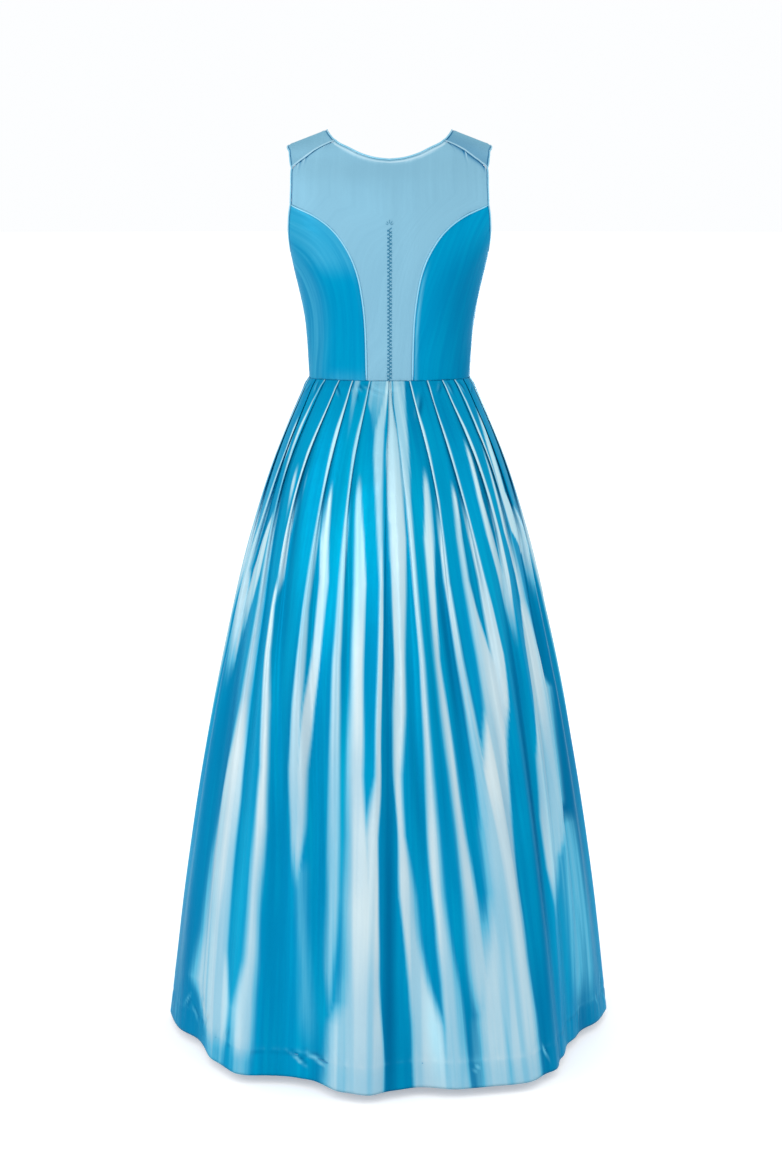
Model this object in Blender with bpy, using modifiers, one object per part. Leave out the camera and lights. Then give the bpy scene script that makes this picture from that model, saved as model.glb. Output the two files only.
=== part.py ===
"""A sleeveless, floor-length satin dirndl, filled out as it is when worn.

Metres, +Z up. The front faces -Y and the wearer's left is +X. The origin is midway between the
shoulders, at the height of the neck ends of the shoulder line, where the wearer carries the dress.

Bodice: a one-piece centre back, two back side panels with piped seams, two front panels that reach over
the shoulders to the back yoke seam and meet edge to edge at the centre front, and two front side panels.
Skirt: a back width and two front widths, knife-pleated towards an inverted pleat at the centre back.
"""

import math
from collections import namedtuple

import bpy
import numpy as np

OBJECT_NAME = "dirndl"
SHOULDERS = "wearer_shoulders"  # the empty at the origin, where the wearer carries the dress

# Driving sizes
WAIST_HEIGHT = -0.390  # the waist seam
HEM_HEIGHT = -1.460  # the lower edge of the skirt
CLOTH_THICKNESS = 0.0012
SEAM_GAP = 0.0003  # what lies between two pieces at a seam
PIPING_RADIUS = 0.0014
ARMHOLE_END_OF_CORD = 0.9  # how far the seam cord goes along its last stretch, to clear the armhole's
BODY_SQUARENESS = 2.25  # 2 is an ellipse, more is squarer

BACK, FRONT = 1, -1

# The general figure that the bodice is cut for, as level sections over the cloth. Above the armholes the
# half width takes in the tops of the arms, and from the shoulder tips up it is the line of the shoulders.
Section = namedtuple("Section", "height half_width back_depth front_depth")
FIGURE = (
    Section(WAIST_HEIGHT, 0.1286, 0.0800, 0.1050),
    Section(-0.3500, 0.1303, 0.0825, 0.1070),
    Section(-0.3000, 0.1346, 0.0885, 0.1130),
    Section(-0.2500, 0.1438, 0.0960, 0.1230),
    Section(-0.2190, 0.1512, 0.1005, 0.1240),
    Section(-0.1850, 0.1590, 0.1040, 0.1190),
    Section(-0.1500, 0.1700, 0.1050, 0.1110),
    Section(-0.1100, 0.1810, 0.1010, 0.1000),
    Section(-0.0750, 0.1850, 0.0920, 0.0860),
    Section(-0.0450, 0.1755, 0.0790, 0.0700),
    Section(-0.0225, 0.1580, 0.0715, 0.0620),
    Section(-0.0120, 0.1320, 0.0655, 0.0560),
    Section(0.0000, 0.1005, 0.0600, 0.0510),
)

# The bust stands proud of those sections on each side of the centre front.
BUST_OFFSET, BUST_HEIGHT, BUST_DEPTH = 0.0780, -0.2520, 0.0150
BUST_SPREAD, BUST_RISE = 0.0460, 0.0520

# Seams on the wearer's left, as distances from the centre line and heights. Each runs upwards.
Mark = namedtuple("Mark", "offset height")
BACK_PANEL_SEAM = (
    Mark(0.0362, WAIST_HEIGHT),
    Mark(0.0380, -0.3100),
    Mark(0.0425, -0.2620),
    Mark(0.0510, -0.2200),
    Mark(0.0660, -0.1850),
    Mark(0.0889, -0.1540),
    Mark(0.1190, -0.1320),
    Mark(0.1540, -0.1160),
)
FRONT_PANEL_SEAM = (
    Mark(0.0520, WAIST_HEIGHT),
    Mark(0.0560, -0.3400),
    Mark(0.0690, -0.2950),
    Mark(0.0810, -0.2500),
    Mark(0.0910, -0.2050),
    Mark(0.1080, -0.1600),
    Mark(0.1270, -0.1290),
    Mark(0.1435, -0.1130),
)
BACK_NECKLINE = (  # from the centre back out to the yoke seam
    Mark(0.0000, -0.0475),
    Mark(0.0240, -0.0448),
    Mark(0.0460, -0.0382),
    Mark(0.0670, -0.0280),
    Mark(0.0850, -0.0175),
)
BACK_ARMHOLE = (  # from the panel seam up to the yoke seam
    Mark(0.1540, -0.1160),
    Mark(0.1527, -0.0850),
    Mark(0.1515, -0.0584),
)

# The front panel narrows to a strap over the shoulder: its neck edge and its armhole edge, side by side.
Strap = namedtuple("Strap", "neck_offset neck_height arm_offset arm_height face")
SHOULDER_STRAP = (
    Strap(0.0000, -0.1500, 0.1435, -0.1130, FRONT),
    Strap(0.0310, -0.1450, 0.1427, -0.1000, FRONT),
    Strap(0.0570, -0.1300, 0.1425, -0.0880, FRONT),
    Strap(0.0750, -0.1050, 0.1432, -0.0740, FRONT),
    Strap(0.0850, -0.0750, 0.1455, -0.0600, FRONT),
    Strap(0.0910, -0.0430, 0.1490, -0.0480, FRONT),
    Strap(0.0955, -0.0170, 0.1535, -0.0370, FRONT),
    Strap(0.0985, -0.0050, 0.1565, -0.0285, FRONT),
    Strap(0.1005, 0.0000, 0.1580, -0.0225, BACK),  # the shoulder line itself
    Strap(0.0988, -0.0025, 0.1572, -0.0300, BACK),
    Strap(0.0945, -0.0085, 0.1550, -0.0415, BACK),
    Strap(0.0850, -0.0175, 0.1515, -0.0584, BACK),  # the yoke seam
)

# The lower curve of the armhole, as turns about the body from the side seam, in degrees.
Dip = namedtuple("Dip", "turn height")
ARMPIT_HEIGHT = -0.1920
BACK_ARMHOLE_DIP = (Dip(7.0, -0.1880), Dip(14.5, -0.1720), Dip(23.5, -0.1470))
FRONT_ARMHOLE_DIP = (Dip(-8.0, -0.1880), Dip(-19.0, -0.1700), Dip(-31.0, -0.1430))

# The skirt without its pleats, as level sections over the cloth.
SKIRT = (
    Section(HEM_HEIGHT, 0.3690, 0.3450, 0.3380),
    Section(-1.2210, 0.3400, 0.3180, 0.3120),
    Section(-1.0060, 0.3052, 0.2820, 0.2800),
    Section(-0.7960, 0.2622, 0.2350, 0.2370),
    Section(-0.6300, 0.2210, 0.1900, 0.1970),
    Section(-0.5070, 0.1815, 0.1450, 0.1590),
    Section(-0.4270, 0.1485, 0.1070, 0.1270),
    Section(-0.4050, 0.1383, 0.0930, 0.1155),
    Section(WAIST_HEIGHT, 0.1302, 0.0820, 0.1070),
)

# The folded edges of the knife pleats, as turns in degrees from the centre back at five places down the
# skirt, and how bold each pleat is beside the others.
Fold = namedtuple("Fold", "waist tenth third two_thirds hem boldness")
LEFT_FOLDS = (
    Fold(0.5, 1.0, 2.0, 3.2, 4.0, 1.0),
    Fold(11.2, 15.2, 16.2, 14.5, 13.5, 1.0),
    Fold(23.8, 27.5, 30.5, 25.0, 24.0, 1.2),
    Fold(35.2, 42.8, 45.5, 38.2, 37.0, 0.9),
    Fold(50.0, 57.0, 56.0, 55.5, 53.0, 1.1),
    Fold(63.5, 65.5, 76.0, 77.0, 75.0, 1.0),
    Fold(79.0, 82.0, 91.0, 95.0, 95.0, 0.8),
    Fold(95.0, 97.0, 102.0, 106.0, 108.0, 1.1),
    Fold(110.0, 112.0, 117.0, 121.0, 122.0, 1.0),
    Fold(125.0, 126.0, 130.0, 133.0, 136.0, 0.9),
    Fold(140.0, 141.0, 143.0, 148.0, 152.0, 1.0),
)
RIGHT_FOLDS = (
    Fold(0.5, 4.2, 8.8, 11.8, 14.0, 1.0),
    Fold(11.8, 17.5, 22.0, 30.8, 34.0, 1.2),
    Fold(24.5, 29.5, 38.2, 42.0, 44.0, 1.0),
    Fold(37.5, 45.5, 51.0, 52.0, 53.0, 0.9),
    Fold(50.5, 57.0, 62.0, 65.0, 66.0, 1.1),
    Fold(64.0, 69.0, 75.0, 79.0, 80.0, 0.9),
    Fold(79.0, 83.0, 89.0, 93.0, 94.0, 0.8),
    Fold(95.0, 98.0, 103.0, 106.0, 107.0, 1.0),
    Fold(110.0, 112.0, 116.0, 119.0, 122.0, 1.1),
    Fold(125.0, 127.0, 131.0, 135.0, 137.0, 1.0),
    Fold(140.0, 141.0, 145.0, 149.0, 152.0, 0.9),
)
FOLD_STATIONS = (0.0, 0.10, 0.33, 0.68, 1.0)  # shares of the skirt's length that the turns belong to

# How deep the pleats are on the way down, and where in a pleat its lowest point lies.
Pleat = namedtuple("Pleat", "down depth trough")
PLEATING = (
    Pleat(0.00, 0.0020, 0.94),
    Pleat(0.05, 0.0060, 0.93),
    Pleat(0.15, 0.0105, 0.88),
    Pleat(0.33, 0.0135, 0.76),
    Pleat(0.65, 0.0115, 0.62),
    Pleat(1.00, 0.0045, 0.55),
)

# Inside the inverted pleat, from its right fold to its left: how high the cloth lies, as for the pleats.
Underlap = namedtuple("Underlap", "share wave")
INVERTED_PLEAT = (Underlap(0.16, 0.60), Underlap(0.34, 0.50), Underlap(0.54, 0.75), Underlap(0.80, 0.00))

# The hem swings out and in: turns from the centre back, positive on the wearer's left, and distances.
Swing = namedtuple("Swing", "turn out")
HEM_SWING = (
    Swing(-180.0, -0.006),
    Swing(-160.0, 0.014),
    Swing(-138.0, -0.014),
    Swing(-116.0, 0.008),
    Swing(-98.0, 0.002),
    Swing(-88.0, -0.005),
    Swing(-77.0, -0.028),
    Swing(-66.0, -0.038),
    Swing(-54.0, -0.021),
    Swing(-44.0, 0.011),
    Swing(-36.0, 0.023),
    Swing(-26.0, 0.018),
    Swing(-16.0, 0.007),
    Swing(-6.0, -0.010),
    Swing(-1.0, 0.002),
    Swing(5.0, 0.018),
    Swing(10.0, 0.014),
    Swing(17.0, -0.010),
    Swing(25.0, -0.023),
    Swing(32.0, -0.006),
    Swing(40.0, 0.010),
    Swing(50.0, -0.004),
    Swing(60.0, -0.019),
    Swing(68.0, -0.022),
    Swing(77.0, -0.010),
    Swing(88.0, 0.003),
    Swing(112.0, -0.014),
    Swing(134.0, 0.014),
    Swing(157.0, 0.004),
    Swing(180.0, -0.006),
)
SWING_POWER = 1.8  # how late on the way down the swing sets in

# How finely the cloth is divided
SEAM_ROWS = 9  # up the panel seams, from the waist
ARMHOLE_ROWS = 3  # up the back armhole, above the panel seam
DIP_COLUMNS = 6  # along the lower armhole, from the side seam
OPENING_ROWS = 6  # up the centre front
STRAP_ARM_STATIONS = (0, 1, 2, 3, 4, 5, 6, 7, 8, 9, 10, 11)
STRAP_NECK_STATIONS = (0, 0.5, 1, 1.5, 2, 2.5, 3, 4, 5, 6, 7, 8, 9, 10, 11)
YOKE_COLUMNS = 5
HALF_NECK_COLUMNS = 5
SKIRT_ROWS = (
    *(0.0, 0.012, 0.03, 0.055, 0.085, 0.125, 0.18, 0.25),
    *(0.33, 0.42, 0.52, 0.63, 0.74, 0.84, 0.93, 1.0),
)
PLEAT_COLUMNS = (0.0, 0.12, 0.36, 0.62, 0.84, 0.94)  # from a pleat's folded edge to the next
PLAIN_COLUMNS = (0.0, 0.08, 0.20, 0.35, 0.50, 0.65, 0.80, 0.92, 1.0)  # across the plain front
SIDE_SEAM_FIELD, SIDE_SEAM_COLUMN = 6, 1  # the side seam lies in this pleat, down this column
SMALL_STEP = 0.0001  # in angle and in height, for finding which way the figure faces

Finish = namedtuple("Finish", "color roughness")
SATIN = Finish((0.02, 0.33, 0.60, 1.0), 0.30)
LIGHT_SATIN = Finish((0.28, 0.55, 0.70, 1.0), 0.34)
CORD_SATIN = Finish((0.01, 0.27, 0.52, 1.0), 0.35)


def clear_scene():
    for thing in list(bpy.data.objects):
        bpy.data.objects.remove(thing, do_unlink=True)


def add_piece(name, data, finish):
    """A piece of the dress in the scene, with a material of its own."""
    material = bpy.data.materials.new(name)
    material.use_nodes = True
    shader = material.node_tree.nodes["Principled BSDF"]
    shader.inputs["Base Color"].default_value = finish.color
    shader.inputs["Roughness"].default_value = finish.roughness
    shader.inputs["Metallic"].default_value = 0.0
    material.diffuse_color = finish.color
    data.materials.append(material)
    piece = bpy.data.objects.new(name, data)
    piece.parent = bpy.data.objects[SHOULDERS]
    bpy.data.collections[OBJECT_NAME].objects.link(piece)
    return piece


def smooth(stations, values, at):
    """Values at the places asked for, on a cubic curve through the stations, which rise."""
    stations, values = np.asarray(stations, float), np.asarray(values, float)
    at = np.clip(at, stations[0], stations[-1])
    slopes = np.gradient(values, stations)
    first = np.clip(np.searchsorted(stations, at, side="right") - 1, 0, len(stations) - 2)
    width = stations[first + 1] - stations[first]
    t = (at - stations[first]) / width
    start = (1 + 2 * t) * (1 - t) ** 2 * values[first] + t * (1 - t) ** 2 * width * slopes[first]
    end = t**2 * (3 - 2 * t) * values[first + 1] + t**2 * (t - 1) * width * slopes[first + 1]
    return start + end


def column(rows, name):
    return [getattr(row, name) for row in rows]


def section_at(sections, height):
    """Half width, back depth and front depth inside the cloth, at each height."""
    heights = column(sections, "height")
    sizes = (smooth(heights, column(sections, name), height) for name in Section._fields[1:])
    return [size - CLOTH_THICKNESS for size in sizes]


def on_ring(half_width, back_depth, front_depth, angle, squareness):
    """x and y on a level section. The angle is 0 at the wearer's left and 90 degrees at the centre back."""
    c, s = np.cos(angle), np.sin(angle)
    depth = np.where(s >= 0, back_depth, front_depth)
    x = half_width * np.sign(c) * np.abs(c) ** (2 / squareness)
    y = depth * np.sign(s) * np.abs(s) ** (2 / squareness)
    return x, y


def on_figure(places):
    """Points in space of places given as (angle, height) on the figure."""
    angle, height = places[..., 0], places[..., 1]
    x, y = on_ring(*section_at(FIGURE, height), angle, BODY_SQUARENESS)
    across = (np.abs(x) - BUST_OFFSET) / BUST_SPREAD
    up = (height - BUST_HEIGHT) / BUST_RISE
    facing = np.clip(-2 * np.sin(angle), 0, 1)
    y = y - BUST_DEPTH * facing * np.exp(-(across**2) - up**2)
    return np.stack([x, y, height], axis=-1)


def place(offset, height, face):
    """The (angle, height) of a mark this far from the centre line, on the back or the front."""
    half_width = section_at(FIGURE, height)[0]
    share = min(offset / float(half_width), 1.0)
    return face * math.acos(share ** (BODY_SQUARENESS / 2)), height


def places(marks, face):
    return np.array([place(mark.offset, mark.height, face) for mark in marks])


def dip_places(dips):
    return np.array([(math.radians(dip.turn), dip.height) for dip in dips])


def along(points, steps):
    """Points on a smooth line through the given ones. steps is a number of steps, or their stations."""
    stations = np.arange(len(points))
    at = np.linspace(0, len(points) - 1, steps + 1) if isinstance(steps, int) else np.array(steps)
    return np.stack([smooth(stations, points[:, axis], at) for axis in range(points.shape[1])], axis=-1)


def patch(bottom, top, left, right):
    """A grid of points between four edges: bottom and top from left to right, left and right upwards."""
    across = np.linspace(0, 1, len(bottom))[None, :, None]
    up = np.linspace(0, 1, len(left))[:, None, None]
    between_rows = (1 - up) * bottom[None] + up * top[None]
    between_columns = (1 - across) * left[:, None] + across * right[:, None]
    low = (1 - across) * bottom[0] + across * bottom[-1]
    high = (1 - across) * top[0] + across * top[-1]
    return between_rows + between_columns - (1 - up) * low - up * high


def unit(vectors):
    return vectors / np.linalg.norm(vectors, axis=-1, keepdims=True)


def course(line):
    """The direction of a line of points at each of them."""
    steps = unit(np.diff(line, axis=0))
    return unit(np.concatenate([steps[:1], steps[:-1] + steps[1:], steps[-1:]]))


def drawn_in(grid, left=0.0, right=0.0, bottom=0.0, top=0.0):
    """The grid with its edges moved along the cloth, away from the pieces beside them. Each distance is one
    number, or one for each point of that edge."""
    moved = grid.copy()
    for edge, inner, distance in (
        (np.s_[:, 0], np.s_[:, 1], left),
        (np.s_[:, -1], np.s_[:, -2], right),
        (np.s_[0], np.s_[1], bottom),
        (np.s_[-1], np.s_[-2], top),
    ):
        onward = course(grid[edge])
        way = grid[inner] - grid[edge]
        way = unit(way - np.sum(way * onward, axis=-1, keepdims=True) * onward)
        moved[edge] += np.reshape(distance, (-1, 1)) * way
    return moved


def cloth(name, grid, finish, mirror=False):
    """A wall of cloth whose inside is the grid of points, with columns clockwise as seen from above."""
    rows, columns = grid.shape[:2]
    index = np.arange(rows * columns).reshape(rows, columns)
    corners = (index[:-1, :-1], index[1:, :-1], index[1:, 1:], index[:-1, 1:])
    faces = np.stack([corner.ravel() for corner in corners], axis=-1)
    mesh = bpy.data.meshes.new(name)
    mesh.from_pydata(grid.reshape(-1, 3).tolist(), [], faces.tolist())
    mesh.shade_smooth()
    piece = add_piece(name, mesh, finish)
    if mirror:
        other_half = piece.modifiers.new("other half", "MIRROR")
        other_half.merge_threshold = 0.0001
    wall = piece.modifiers.new("wall", "SOLIDIFY")
    wall.thickness = CLOTH_THICKNESS
    wall.offset = 1.0


def cloth_on_both_sides(name, grid, finish):
    cloth(f"{name}_left", grid, finish)
    cloth(f"{name}_right", (grid * (-1, 1, 1))[:, ::-1], finish)


def off_figure(places):
    """Directions straight off the figure at places given as (angle, height)."""
    here = np.stack([places[..., 0], np.minimum(places[..., 1], -SMALL_STEP)], axis=-1)
    around = on_figure(here + (SMALL_STEP, 0)) - on_figure(here - (SMALL_STEP, 0))
    upwards = on_figure(here + (0, SMALL_STEP)) - on_figure(here - (0, SMALL_STEP))
    return unit(np.cross(around, upwards))


def piping(name, line, finish, closed=False):
    """A covered cord along a line of points."""
    curve = bpy.data.curves.new(name, "CURVE")
    curve.dimensions = "3D"
    curve.bevel_depth = PIPING_RADIUS
    curve.bevel_resolution = 1
    curve.use_fill_caps = not closed
    spline = curve.splines.new("POLY")
    spline.points.add(len(line) - 1)
    spline.points.foreach_set("co", np.column_stack([line, np.ones(len(line))]).ravel())
    spline.use_cyclic_u = closed
    add_piece(name, curve, finish)


def piping_on_both_sides(name, line, finish, closed=False):
    piping(f"{name}_left", line, finish, closed)
    piping(f"{name}_right", line * (-1, 1, 1), finish, closed)


def edge_line(edge):
    """A cord's line beside a cut edge, off it by its radius and the gap, at the middle of the wall."""
    line, face = on_figure(edge), off_figure(edge)
    reach = PIPING_RADIUS + SEAM_GAP
    return line + reach * np.cross(face, course(line)) + CLOTH_THICKNESS / 2 * face


def joined(*edges):
    """One edge from several that follow on, without the points that they share."""
    return np.concatenate([edges[0]] + [edge[1:] for edge in edges[1:]])


def straight(start, end, steps):
    """A straight row of places between two."""
    share = np.linspace(0, 1, steps + 1)[:, None]
    return (1 - share) * np.asarray(start) + share * np.asarray(end)


def bodice_edges():
    """The edges that the pieces share on the wearer's left, as (angle, height), each sampled once."""
    strap_neck = np.array([place(s.neck_offset, s.neck_height, s.face) for s in SHOULDER_STRAP])
    strap_arm = np.array([place(s.arm_offset, s.arm_height, s.face) for s in SHOULDER_STRAP])
    back_top = places(BACK_PANEL_SEAM, BACK)[-1:]
    front_top = places(FRONT_PANEL_SEAM, FRONT)[-1:]
    armpit = np.array([(0.0, ARMPIT_HEIGHT)])
    edges = {
        "back_seam": along(places(BACK_PANEL_SEAM, BACK), SEAM_ROWS),
        "front_seam": along(places(FRONT_PANEL_SEAM, FRONT), SEAM_ROWS),
        "back_armhole": along(places(BACK_ARMHOLE, BACK), ARMHOLE_ROWS),
        "back_dip": along(np.concatenate([armpit, dip_places(BACK_ARMHOLE_DIP), back_top]), DIP_COLUMNS),
        "front_dip": along(np.concatenate([armpit, dip_places(FRONT_ARMHOLE_DIP), front_top]), DIP_COLUMNS),
        "back_neck": along(places(BACK_NECKLINE, BACK), HALF_NECK_COLUMNS),
        "strap_neck": along(strap_neck, STRAP_NECK_STATIONS),
        "strap_arm": along(strap_arm, STRAP_ARM_STATIONS),
    }
    edges["yoke"] = straight(edges["strap_neck"][-1], edges["strap_arm"][-1], YOKE_COLUMNS)
    edges["side"] = straight((0.0, WAIST_HEIGHT), armpit[0], SEAM_ROWS)
    return edges


def build_bodice():
    edges = bodice_edges()
    half_gap = SEAM_GAP / 2
    piped_gap = PIPING_RADIUS + SEAM_GAP
    centre_back, centre_front = math.pi / 2, -math.pi / 2

    # Centre back: its left half runs from the centre line out to the panel seam and the armhole.
    outer = joined(edges["back_seam"], edges["back_armhole"])
    top = joined(edges["back_neck"], edges["yoke"])
    inner = straight((centre_back, WAIST_HEIGHT), edges["back_neck"][0], len(outer) - 1)
    grid = on_figure(patch(straight(inner[0], outer[0], len(top) - 1), top, inner, outer))
    seam_only = np.where(np.arange(len(outer)) <= SEAM_ROWS, piped_gap, 0.0)
    yoke_only = np.where(np.arange(len(top)) >= HALF_NECK_COLUMNS, half_gap, 0.0)
    grid = drawn_in(grid, right=seam_only, bottom=half_gap, top=yoke_only)
    grid[:, 0, 0] = 0.0
    cloth("back_center", grid, LIGHT_SATIN, mirror=True)

    # Back side panel: from the panel seam round to the side seam.
    bottom = straight(edges["back_seam"][0], edges["side"][0], DIP_COLUMNS)
    grid = on_figure(patch(bottom, edges["back_dip"][::-1], edges["back_seam"], edges["side"]))
    grid = drawn_in(grid, left=piped_gap, right=half_gap, bottom=half_gap)
    cloth_on_both_sides("back_side", grid, SATIN)

    # Front side panel: from the side seam round to the front panel seam.
    bottom = straight(edges["side"][0], edges["front_seam"][0], DIP_COLUMNS)
    grid = on_figure(patch(bottom, edges["front_dip"], edges["side"], edges["front_seam"]))
    grid = drawn_in(grid, left=half_gap, right=half_gap, bottom=half_gap)
    cloth_on_both_sides("front_side", grid, SATIN)

    # Front panel: from the front panel seam and armhole round to the centre front and neckline.
    opening = straight((centre_front, WAIST_HEIGHT), edges["strap_neck"][0], OPENING_ROWS)
    neck_side = joined(opening, edges["strap_neck"])
    arm_side = joined(edges["front_seam"], edges["strap_arm"])
    bottom = straight(arm_side[0], neck_side[0], YOKE_COLUMNS)
    grid = on_figure(patch(bottom, edges["yoke"][::-1], arm_side, neck_side))
    seam_only = np.where(np.arange(len(arm_side)) <= SEAM_ROWS, half_gap, 0.0)
    opening_only = np.where(np.arange(len(arm_side)) <= OPENING_ROWS, half_gap, 0.0)
    grid = drawn_in(grid, left=seam_only, right=opening_only, bottom=half_gap, top=half_gap)
    cloth_on_both_sides("front", grid, LIGHT_SATIN)

    build_piping(edges)


def build_piping(edges):
    # In the back panel seams the cord stands proud of the cloth and stops short of the skirt.
    seam = edges["back_seam"]
    line = on_figure(seam) + CLOTH_THICKNESS * off_figure(seam)
    line[0, 2] += PIPING_RADIUS + SEAM_GAP
    line[-1] = line[-2] + ARMHOLE_END_OF_CORD * (line[-1] - line[-2])
    piping_on_both_sides("back_seam_piping", line, CORD_SATIN)

    armhole = joined(
        edges["back_dip"], edges["back_armhole"], edges["strap_arm"][::-1], edges["front_dip"][::-1]
    )
    piping_on_both_sides("armhole_piping", edge_line(armhole)[:-1], CORD_SATIN, closed=True)

    # Round the neck, open at the centre front.
    half = edge_line(joined(edges["strap_neck"], edges["back_neck"][::-1]))
    half[0, 0] = PIPING_RADIUS / 2
    half[-1, 0] = 0.0
    other_half = (half * (-1, 1, 1))[-2::-1]
    piping("neck_piping", np.concatenate([half, other_half]), CORD_SATIN)


def fold_turn(fold, down):
    """Where a folded edge runs at this share of the skirt's length, in degrees."""
    return smooth(FOLD_STATIONS, fold[:-1], down)


def pleat_wave(share, trough):
    """1 at a folded edge, 0 at the trough and 1 at the next edge."""
    falling = 0.5 + 0.5 * np.cos(np.pi * share / trough)
    rising = 0.5 - 0.5 * np.cos(np.pi * (share - trough) / (1 - trough))
    return np.where(share <= trough, falling, rising)


def skirt_columns():
    """Each column of the skirt as its turns and its waves down the skirt, from the centre back round by the
    wearer's left, and the numbers of the columns where the seams lie."""
    down = np.array(SKIRT_ROWS)
    trough = smooth(column(PLEATING, "down"), column(PLEATING, "trough"), down)
    depth = smooth(column(PLEATING, "down"), column(PLEATING, "depth"), down)
    left = [fold_turn(fold, down) for fold in LEFT_FOLDS]
    right = [360 - fold_turn(fold, down) for fold in RIGHT_FOLDS]
    columns, seams = [], {}

    def add(start, end, boldness, shares, waves):
        for share, wave in zip(shares, waves):
            columns.append(((1 - share) * start + share * end, depth * boldness * (wave - 1)))

    pleat = [pleat_wave(share, trough) for share in PLEAT_COLUMNS]
    for number, fold in enumerate(LEFT_FOLDS[:-1]):
        if number == SIDE_SEAM_FIELD:
            seams["left"] = len(columns) + SIDE_SEAM_COLUMN
        add(left[number], left[number + 1], fold.boldness, PLEAT_COLUMNS, pleat)
    seams["front"] = len(columns) + len(PLAIN_COLUMNS) // 2
    add(left[-1], right[-1], 1.0, PLAIN_COLUMNS, np.ones(len(PLAIN_COLUMNS)))
    from_trough = [1 - share for share in reversed(PLEAT_COLUMNS)]
    for number in reversed(range(len(RIGHT_FOLDS) - 1)):
        add(right[number + 1], right[number], RIGHT_FOLDS[number].boldness, from_trough, pleat[::-1])
        if number == SIDE_SEAM_FIELD:
            seams["right"] = len(columns) - 1 - SIDE_SEAM_COLUMN
    inverted = column(INVERTED_PLEAT, "share"), column(INVERTED_PLEAT, "wave")
    add(right[0], left[0] + 360, 1.0, *inverted)
    return columns, seams


def skirt_line(turns, waves):
    """One column of the skirt's inside, from the waist down."""
    down = np.array(SKIRT_ROWS)
    top = WAIST_HEIGHT - SEAM_GAP - CLOTH_THICKNESS / 2
    height = top + (HEM_HEIGHT - top) * down
    half_width, back_depth, front_depth = section_at(SKIRT, height)
    squareness = BODY_SQUARENESS + (2 - BODY_SQUARENESS) * down
    x, y = on_ring(half_width, back_depth, front_depth, np.radians(90 - turns), squareness)
    depth = np.where(y >= 0, back_depth, front_depth)
    away = unit(np.stack([x / half_width**2, y / depth**2, np.zeros_like(x)], axis=-1))
    turns_either_way = (turns + 180) % 360 - 180
    swing = smooth(column(HEM_SWING, "turn"), column(HEM_SWING, "out"), turns_either_way)
    out = waves + swing * down**SWING_POWER
    return np.stack([x, y, height], axis=-1) + out[:, None] * away


def build_skirt():
    columns, seams = skirt_columns()
    grid = np.stack([skirt_line(turns, waves) for turns, waves in columns], axis=1)[::-1]
    pieces = {
        "skirt_back": np.r_[seams["right"] : grid.shape[1], 0 : seams["left"] + 1],
        "skirt_front_left": np.r_[seams["left"] : seams["front"] + 1],
        "skirt_front_right": np.r_[seams["front"] : seams["right"] + 1],
    }
    for name, part in pieces.items():
        piece = drawn_in(grid[:, part], left=SEAM_GAP / 2, right=SEAM_GAP / 2)
        cloth(name, piece, SATIN)


def main():
    clear_scene()
    collection = bpy.data.collections.new(OBJECT_NAME)
    bpy.context.scene.collection.children.link(collection)
    collection.objects.link(bpy.data.objects.new(SHOULDERS, None))
    build_bodice()
    build_skirt()


main()
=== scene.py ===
# %% [markdown]
# # A satin dirndl, seen from the back
#
# The dress is sleeveless and reaches the floor: a fitted bodice in panels over a full, pleated skirt.
# Everything here is cloth, so each piece is a thin shell on the form of its solid in the frame: the same
# tables of sections and seams are used again, only much finer, and the folds, puckers and stitches that
# the solids leave out are added. Lengths are metres, +Z is up, and the back of the dress faces +Y.

# %% Load the frame
import math
from collections import namedtuple

import bpy
import numpy as np
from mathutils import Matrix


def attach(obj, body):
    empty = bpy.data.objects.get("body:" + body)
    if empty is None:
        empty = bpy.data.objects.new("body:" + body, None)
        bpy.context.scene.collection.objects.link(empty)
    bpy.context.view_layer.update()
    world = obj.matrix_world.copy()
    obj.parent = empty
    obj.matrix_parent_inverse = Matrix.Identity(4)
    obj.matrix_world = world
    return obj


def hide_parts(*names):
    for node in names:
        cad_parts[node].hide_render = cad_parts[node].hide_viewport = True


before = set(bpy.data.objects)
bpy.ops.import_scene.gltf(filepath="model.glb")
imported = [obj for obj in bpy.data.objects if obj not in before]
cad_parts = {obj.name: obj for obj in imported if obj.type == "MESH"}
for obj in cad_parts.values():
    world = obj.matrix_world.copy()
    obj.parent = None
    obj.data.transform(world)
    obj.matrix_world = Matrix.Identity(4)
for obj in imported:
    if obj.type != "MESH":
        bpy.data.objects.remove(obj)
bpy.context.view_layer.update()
print("nodes in the frame:", ", ".join(sorted(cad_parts)))

# %% [markdown]
# ## The camera
#
# A photographer who wants a whole dress without a looming skirt stands well back with a long lens. The
# camera stands 3.7 m behind the dress at the height of its shoulder blades and looks down by 10 degrees.
# Its lens is given for the picture's height, because the picture is upright.

# %% Camera
PICTURE_HEIGHT = 1175  # pixels of the upright picture
FOCAL_PIXELS = 2300
SENSOR_HEIGHT = 36.0
CAMERA_PLACE = (-0.0024, 3.7, -0.0776)
LOOKS_DOWN = math.radians(10.047)


def put_in_scene(name, data):
    thing = bpy.data.objects.new(name, data)
    bpy.context.scene.collection.objects.link(thing)
    return thing


lens = bpy.data.cameras.new("camera")
lens.sensor_fit = "VERTICAL"
lens.sensor_height = SENSOR_HEIGHT
lens.lens = FOCAL_PIXELS / PICTURE_HEIGHT * SENSOR_HEIGHT
camera = put_in_scene("camera", lens)
camera.location = CAMERA_PLACE
camera.rotation_euler = (math.pi / 2 - LOOKS_DOWN, 0.0, math.pi)
bpy.context.scene.camera = camera
print(f"lens {lens.lens:.1f} mm on a sensor {SENSOR_HEIGHT:.0f} mm high")

# %% [markdown]
# ## Sizes that the dress is cut to
#
# A dressmaker works from a handful of measures at set heights. The figure is a stack of level sections,
# each a half width and two depths, and the seams are marks on it: how far from the centre line, and how
# high. A smooth curve through a few marks is fairer than many points, and easy to alter.

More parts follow.
